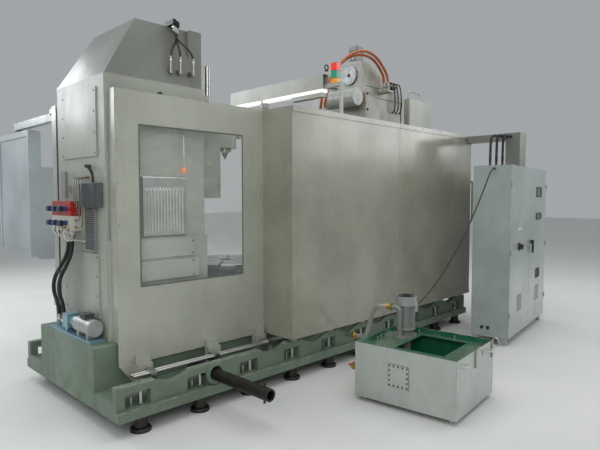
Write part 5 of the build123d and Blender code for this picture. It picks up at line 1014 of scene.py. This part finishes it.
end_gap = 0.0005
for name, (points, diameter, _, body, _) in cord_list.items():
    if name == "pump_cable":
        continue
    ends = []
    for here, beyond in ((points[0], points[1]), (points[-1], points[-2])):
        way = np.array(beyond) - np.array(here)
        start = np.array(here) + end_gap * way / np.linalg.norm(way)
        ends += hose_end(start, way, diameter / 2, min(2.4 * diameter, 0.05))
    piece(f"{name}_ends", ends, brass if name == "coolant_hose" else bright_steel, body)
gland = [(0.0085, 0), (0.0115, 0.002), (0.0115, 0.009), (0.0082, 0.017), (0.0074, 0.019)]
glands = [
    turned_part(gland, cable_start, (Vector(cable_route[1]) - cable_start).normalized(), 12),
    turned_part(gland, cable_end, (Vector(cable_route[-2]) - cable_end).normalized(), 12),
]
piece("cable_glands", glands, black_plastic)

# %% [markdown]
# Valves on the tailstock column: short steel pipes loop from the block's ports to the column's end wall, with union
# nuts at both ends. Each pipe is a tube along a spline, and the next one is the same loop moved on by one port. A
# ribbed conduit carries the wires: its radius follows a sine of the way along it.

# %% Valve pipes and conduit
wall_x, port_x = -1.3855, -1.4655
pipes, elbows, unions = [], [], []
for i in range(5):
    y, z = 0.035 + 0.06 * i, 1.352 + 0.012 * i
    wall_y = -0.03 - 0.028 * i
    route = [
        (port_x, y, z), (-1.5, y, z), (-1.518, y - 0.03, z - 0.05), (-1.512, y - 0.09, z - 0.09),
        (-1.46, wall_y, 1.27), (wall_x, wall_y, 1.26),
    ]
    pipes.append(tube(curve(route, 12), 0.0048, 10))
    unions.append(hexagon((port_x, y, z), (-1, 0, 0), 0.0095, 0.012))
    unions.append(hexagon((wall_x, wall_y, 1.26), (-1, 0, 0), 0.0095, 0.012))
for i in range(4):
    z, wide, wall_y = 1.368 + 0.052 * i, 0.048 * (3 - i), -0.03 - 0.042 * (3 - i)
    route = [
        (-1.43, -0.0002, z), (-1.44, -0.06 - wide / 2, z), (-1.478, -0.1 - wide, z + 0.05),
        (-1.486, -0.11 - wide, 1.66), (-1.45, wall_y, 1.748), (wall_x, wall_y, 1.748),
    ]
    elbows.append(tube(curve(route, 12), 0.0042, 10))
    unions.append(hexagon((-1.43, -0.0002, z), (0, -1, 0), 0.0092, 0.012))
    unions.append(hexagon((-1.3852, wall_y, 1.748), (-1, 0, 0), 0.0088, 0.012))
piece("valve_pipes", pipes, bright_steel)
piece("valve_elbows", elbows, dull_steel)
conduit_route = [
    (-1.42, -0.3, 1.7022), (-1.42, -0.3, 1.765), (-1.432, -0.27, 1.815), (-1.43, -0.2, 1.83),
    (-1.41, -0.185, 1.83), (-1.3852, -0.185, 1.83),
]
piece("valve_conduit", [corrugated(curve(conduit_route, 30), 0.0105, 0.0011, 0.006)], black_plastic)
piece("valve_unions", unions, brass)

# %% [markdown]
# The valve block also has a terminal box with a screwed lid and cooling slots, and six solenoid caps.

# %% Valve box lid and caps
lid = [slab((-1.4485, -0.385, 1.532), (-1.4452, -0.105, 1.697), 0.001)]
lid += [screw((-1.4484, y, z), (-1, 0, 0), 0.0045, 0.003) for y in (-0.375, -0.115) for z in (1.541, 1.688)]
lid += [
    slab((-1.4165, -0.287, 1.212 + 0.0156 * i), (-1.4132, -0.143, 1.2214 + 0.0156 * i), 0.0008) for i in range(20)
]
piece("valve_box_lid", lid, dark_plastic)
cap = [(0.0215, 0), (0.0225, 0.004), (0.0225, 0.02), (0.018, 0.024), (0.012, 0.024), (0.011, 0.03), (0.0004, 0.031)]
caps = [turned_part(cap, (-1.5005, y, z), (-1, 0, 0)) for y in (0.075, 0.185, 0.295) for z in (1.4, 1.51)]
piece("solenoid_caps", caps, black_plastic)

# %% [markdown]
# Pump unit on the bed's end: cooling ribs along the motor's barrel, a fan cowl with ring grooves, and a terminal box
# on top. The ribs are thin tubes laid on the packed barrel, whose mesh stays as it is. The grooves are steps in the
# cowl's profile.

# %% Pump unit fittings
motor_x, motor_z, barrel_r = -1.462, 0.65, 0.0587
around = [(motor_x + barrel_r * cos(a), motor_z + barrel_r * sin(a)) for a in radians(15) * np.arange(24)]
ribs = [tube([(x, -0.325, z), (x, -0.13, z)], 0.0024, 6) for x, z in around if z > 0.61]
piece("motor_ribs", ribs, motor_grey)
cowl = [(0.0592, 0), (0.0612, 0.002), (0.0612, 0.052), (0.0585, 0.058)]
cowl += [(0.056 - 0.0024 * k, 0.0585 - 0.0028 * (k % 4 in (1, 2))) for k in range(22)]
cowl.append((0.0004, 0.0585))
piece("motor_cowl", [turned_part(cowl, (motor_x, -0.33, motor_z), (0, -1, 0), 40)], motor_grey)
gland = [(0.011, 0), (0.0125, 0.003), (0.0125, 0.012), (0.009, 0.02), (0.0004, 0.021)]
box = [
    slab((-1.497, -0.29, 0.706), (-1.427, -0.2, 0.738), 0.004),
    slab((-1.501, -0.294, 0.738), (-1.423, -0.196, 0.745), 0.002),
    turned_part(gland, (motor_x, -0.196, 0.722), (0, 1, 0), 12),
]
piece("motor_box", box, dark_plastic)

# %% [markdown]
# The switch cabinet's doors carry filter grilles, a rotary switch on a square plate, a white push plate and three
# knobs. Barrel hinges stand along both outer edges. All sit on the doors' face, v = 0, and ride on the door that
# carries them.


# %% Cabinet doors
def grille(u, z, width, height, bars):
    """Filter grille: a bevelled frame with level bars across it, on the doors' face v = 0."""
    low, pitch = z - height / 2, height / bars
    parts = ring_frame((u - width / 2, -0.0002, low), (u + width / 2, -0.0002, z + height / 2), 0.012, -0.008)
    for k in range(bars):
        foot = low + height * k / bars
        near, far = (u - width / 2, -0.006, foot + 0.0015), (u + width / 2, -0.0004, foot + pitch * 0.55)
        parts.append(slab(near, far, 0.0008))
    return parts


grilles = grille(1.24, 1.66, 0.22, 0.1, 10) + grille(1.24, 1.364, 0.22, 0.06, 6) + grille(1.24, 0.66, 0.14, 0.09, 8)
piece("cabinet_grilles", [in_cabinet(part) for part in grilles], dark_plastic, "right_leaf")
dial = [(0.034, 0), (0.034, 0.012), (0.03, 0.016), (0.0005, 0.016)]
switch = [
    slab((0.315, -0.004, 1.005), (0.405, -0.0002, 1.095), 0.0015),
    turned_part(dial, (0.36, -0.004, 1.05), (0, -1, 0), 32),
    slab((0.3525, -0.046, 1.02), (0.3675, -0.018, 1.08), 0.004),
]
piece("rotary_switch", [in_cabinet(part) for part in switch], black_plastic, "left_leaf")
push_plate = slab((0.29, -0.006, 1.234), (0.43, -0.0002, 1.262), 0.002)
piece("push_plate", [in_cabinet(push_plate)], white_plastic, "left_leaf")
knob = [(0.006, 0), (0.006, 0.012), (0.0112, 0.0145), (0.0122, 0.02), (0.009, 0.0242), (0.0004, 0.025)]
knobs = [in_cabinet(turned_part(knob, (u, -0.0002, 1.05), (0, -1, 0), 24)) for u in (0.5, 0.59, 0.68)]
piece("door_knobs", knobs, bright_steel, "left_leaf")
hinge = [(0.004, 0), (0.0058, 0.002), (0.0058, 0.026), (0.005, 0.0265)]
hinge += [(0.0058, 0.027), (0.0058, 0.054), (0.004, 0.056)]
for leaf, u in (("left", 0.009), ("right", 1.62)):
    hinges = [in_cabinet(turned_part(hinge, (u, -0.0062, z), (0, 0, 1), 16)) for z in (0.3, 0.98, 1.7)]
    piece(f"{leaf}_hinges", hinges, bright_steel, f"{leaf}_leaf")

# %% [markdown]
# Inside, four rows of seven switches stand on the mounting plate. Each has a pale front, three levers and six
# terminal screws. Slotted ducts for the wires run between the rows. What is repeated this often has few faces.

# %% Switchgear
row_pitch, unit_pitch, pole_pitch = 0.38, 0.19, 0.04
terminal = [(0.007, 0), (0.0075, 0.002), (0.0035, 0.003), (0.003, 0.001), (0.0003, 0.001)]
faces, levers, ducts = [], [], []
for row in range(4):
    z = 0.34 + row_pitch * row
    for column in range(7):
        u = 0.815 + unit_pitch * (column - 3)
        faces.append(slab((u - 0.064, 0.2495, z + 0.012), (u + 0.064, 0.2558, z + 0.188), 0.002))
        for pole in range(3):
            spot = u - pole_pitch + pole_pitch * pole
            foot, top = z + 0.088 + 0.006 * pole, z + 0.112 + 0.006 * pole
            levers.append(slab((spot - 0.008, 0.236, foot), (spot + 0.008, 0.2493, top), 0.003))
            levers += [turned_part(terminal, (spot, 0.2493, h), (0, -1, 0), 10) for h in (z + 0.03, z + 0.17)]
for z in (*[0.23 + row_pitch * level for level in range(4)], 1.725):
    ducts.append(slab((0.12, 0.335, z), (1.51, 0.3752, z + 0.07), 0.002))
    for k in range(99):
        ducts.append(slab((0.126 + 0.0139 * k, 0.326, z + 0.003), (0.1345 + 0.0139 * k, 0.3348, z + 0.067), 0.001))
piece("breaker_faces", [in_cabinet(part) for part in faces], white_plastic)
piece("breaker_levers", [in_cabinet(part) for part in levers], black_plastic)
piece("wiring_ducts", [in_cabinet(part) for part in ducts], duct_plastic)

# %% [markdown]
# Cables enter through glands low on the end wall. Black ribbed conduits rise from the roof and bend into the cable
# duct.

# %% Cabinet glands and conduits
gland = [(0.016, 0), (0.018, 0.002), (0.018, 0.012), (0.013, 0.014), (0.013, 0.03), (0.009, 0.034), (0.0005, 0.034)]
glands = [in_cabinet(turned_part(gland, (0.0, v, 0.18), (-1, 0, 0), 18)) for v in (0.217, 0.28)]
piece("low_glands", glands, black_plastic)
collar = [(0.02, 0), (0.022, 0.003), (0.022, 0.02), (0.016, 0.026)]
conduits = []
for i in range(3):
    x, y = 2.72 + 0.06 * i, -1.37 - 0.045 * i
    route = [(x, y, 1.9405), (x, y, 2.16), (2.74 + 0.06 * i, y, 2.3), (2.9, y, 2.31), (3.0745, y, 2.31)]
    conduits.append(corrugated(curve(route, 40), 0.014, 0.0014, 0.009))
    conduits.append(turned_part(collar, (x, y, 1.9402), (0, 0, 1), 6))
piece("roof_conduits", conduits, black_plastic)

# %% [markdown]
# Coolant tank: two hooked bars on the near wall, set bolts on the deck, and a weld bead along each corner. A bead is
# a row of small ripples. A thin tube whose radius follows a sine gives them without any sculpting.

# %% Tank hooks, bolts and welds
hooks = []
for u in (0.35, 0.7):
    bends = ((-0.0065, 0.33), (-0.0065, 0.43), (-0.0085, 0.475), (-0.03, 0.49), (-0.056, 0.475), (-0.056, 0.43))
    hooks.append(in_tank(tube(curve([(u, v, z) for v, z in bends], 10), 0.0062, 12)))
piece("tank_hooks", hooks, bright_steel)
deck_z = 0.4202
stud = [(0.0055, 0), (0.0055, 0.03), (0.0045, 0.032)]
deck_bolts = []
for u, v in ((0.277, 0.79), (0.33, 0.79), (0.06, 0.1), (0.06, 0.6), (0.69, 0.3), (0.69, 0.62)):
    deck_bolts.append(in_tank(hexagon((u, v, deck_z), (0, 0, 1), 0.011, 0.009)))
    deck_bolts.append(in_tank(turned_part(stud, (u, v, deck_z), (0, 0, 1), 12)))
piece("deck_bolts", deck_bolts, bright_steel)


def weld(u, v, low=0.04, high=0.458):
    """Weld bead up a corner: a thin tube whose radius ripples, r = 2.2 mm (1 + 0.16 sin(2 pi z / 5 mm))."""
    z = np.linspace(low, high, 220)
    path = np.stack((u + 0 * z, v + 0 * z, z), 1)
    return tube(path, 0.0022 * (1 + 0.16 * np.sin(2 * pi * z / 0.005)), 8)


corners = ((0.0008, 0.0008), (0.7292, 0.0008), (0.0008, 0.8292), (0.7292, 0.8292))
piece("tank_welds", [in_tank(weld(u, v)) for u, v in corners], tank_grey)

# %% [markdown]
# The access plate on the tank's end has a square of bolts and a rubber seal. The hatch over the basin has a slim rim.
# The bolts are a grid of places from which the middle is left out.

# %% Tank plate and hatch rim
bolt = [(0.0066, 0), (0.0066, 0.003), (0.0056, 0.0046), (0.0034, 0.0052), (0.003, 0.003), (0.0003, 0.003)]
spots = [0.0365 * i for i in (-2, -1, 0, 1, 2)]
square = [(a, b) for a in spots for b in spots if max(abs(a), abs(b)) > 0.07]
bolts = [in_tank(turned_part(bolt, (-0.0042, 0.45 + a, 0.26 + b), (-1, 0, 0), 12)) for a, b in square]
piece("plate_bolts", bolts, dark_iron)
seal = ring_frame((-0.0002, 0.3655, 0.1755), (-0.0002, 0.5345, 0.3445), 0.003, -0.0022, axis=0, edge=0.0007)
piece("plate_seal", [in_tank(part) for part in seal], black_rubber)
rim = ring_frame((0.18, 0.175, deck_z), (0.648, 0.571, deck_z), 0.012, 0.004, axis=2)
piece("hatch_rim", [in_tank(part) for part in rim], tank_green)

# %% [markdown]
# The pump motor has a wire guard over its fan: six level rings, and four wires across them. Each is a thin tube, the
# rings along a circle and the wires along a straight path.

# %% Fan guard
fan_u, fan_v, fan_z = 0.56, 0.68, 0.7632
t = np.linspace(0, 2 * pi, 49)
wires = []
for k in range(6):
    r = 0.014 + 0.0125 * k
    loop = np.stack((fan_u + r * np.cos(t), fan_v + r * np.sin(t), fan_z + 0 * t), 1)
    wires.append(in_tank(tube(loop, 0.0014, 6)))
for k in range(4):
    a = k * pi / 4
    spoke = [(fan_u + r * cos(a), fan_v + r * sin(a), fan_z) for r in (-0.079, -0.03, 0.03, 0.079)]
    wires.append(in_tank(tube(spoke, 0.0016, 6)))
piece("fan_guard", wires, dark_iron)

# %% [markdown]
# The hanging console is seen from the operator's side: framed screen, rows of keys, a red mushroom button and two
# dials, all blank. The keys come from a pitch and a size, and the round parts are turned along +X, the way that the
# face looks.

# %% Console face
face_x, key_pitch, key_size = -1.1468, 0.042, 0.03
screen = ring_frame((face_x, 1.84, 1.72), (face_x, 2.26, 2.05), 0.03, 0.012, axis=0, edge=0.003)
piece("screen_frame", screen, black_plastic, "operator_console")
piece("screen", [slab((face_x, 1.84, 1.72), (-1.1418, 2.26, 2.05), 0.001)], dark_glass, "operator_console")
places = [(1.81 + key_pitch * column, 1.4 + key_pitch * row) for row in range(5) for column in range(11)]
keys = [slab((face_x, y, z), (-1.1408, y + key_size, z + key_size), 0.002) for y, z in places]
piece("console_keys", keys, white_plastic, "operator_console")
mushroom = [(0.012, 0), (0.012, 0.012), (0.026, 0.014), (0.0285, 0.02)]
mushroom += [(0.026, 0.028), (0.016, 0.033), (0.0005, 0.034)]
piece("stop_button", [turned_part(mushroom, (face_x, 2.2, 1.26), (1, 0, 0), 32)], red_plastic, "operator_console")
dial = [(0.03, 0), (0.03, 0.004), (0.022, 0.006), (0.021, 0.02), (0.018, 0.022), (0.0005, 0.022)]
dials = [turned_part(dial, (face_x, y, 1.26), (1, 0, 0), 36) for y in (1.86, 2.0)]
piece("console_dials", dials, black_plastic, "operator_console")

# %% [markdown]
# The hob column's gear box has two eye bolts to lift it by and an oil sight glass. Steel pipes run from the valve
# stack down the back. An eye is a tube along a circle, standing on a turned collar.


# %% Column fittings
def eye_bolt(place, size):
    """Eye bolt: a collar of revolution and a ring standing on it, a tube along a circle of radius size."""
    x, y, z = place
    t = np.linspace(0, 2 * pi, 33)
    ring = np.stack((x + size * np.cos(t), y + 0 * t, z + 1.5 * size + size * np.sin(t)), 1)
    collar = [(size * 0.8, 0), (size * 0.8, 0.2 * size), (size * 0.4, 0.5 * size)]
    return [tube(ring, size * 0.24, 10), turned_part(collar, place, (0, 0, 1), 16)]


eyes = eye_bolt((1.95, -0.02, 3.1195), 0.03) + eye_bolt((1.72, 0.24, 3.1195), 0.03)
piece("eye_bolts", eyes, dark_iron, "hob_column")
sight = [(0.02, 0), (0.022, 0.002), (0.022, 0.006), (0.016, 0.008), (0.015, 0.006), (0.0005, 0.006)]
piece("sight_glass", [turned_part(sight, (1.6548, 0.12, 2.92), (-1, 0, 0), 24)], dark_glass, "hob_column")
lines = []
for i in range(3):
    x = 2.12 + 0.066 * i
    route = [
        (x, -0.366, 2.946), (x, -0.43, 2.946), (x + 0.02, -0.452, 2.9), (x + 0.05, -0.452, 2.7),
        (x + 0.05, -0.43, 2.6), (x + 0.05, -0.4, 2.6),
    ]
    lines.append(tube(curve(route, 10), 0.007, 10))
    lines.append(hexagon(route[0], (0, -1, 0), 0.013, 0.014))
piece("valve_lines", lines, dark_iron, "hob_column")

# %% [markdown]
# The floor is plain, pale and wide enough that its edge meets the sky far behind the machine. It belongs to the stage
# and not to the object.

# %% Floor
reach = 40
corners = [(-reach, -reach, 0), (reach, -reach, 0), (reach, reach, 0), (-reach, reach, 0)]
floor_mesh = bpy.data.meshes.new("floor")
floor_mesh.from_pydata(corners, [], [(0, 1, 2, 3)])
floor = bpy.data.objects.new("floor", floor_mesh)
scene.collection.objects.link(floor)
floor_finish = Finish("floor_finish", 0.55)
floor_cloud = floor_finish.noise(0.9, 4)
floor_finish.feed("Base Color", floor_finish.mix(floor_cloud, srgb(206, 208, 206), srgb(222, 223, 220)))
floor_finish.feed("Roughness", floor_cloud.ramp(0.2, 0.8, 0.45, 0.62))
floor_mesh.materials.append(floor_finish.material)
print("floor", 2 * reach, "m square")

# %% [markdown]
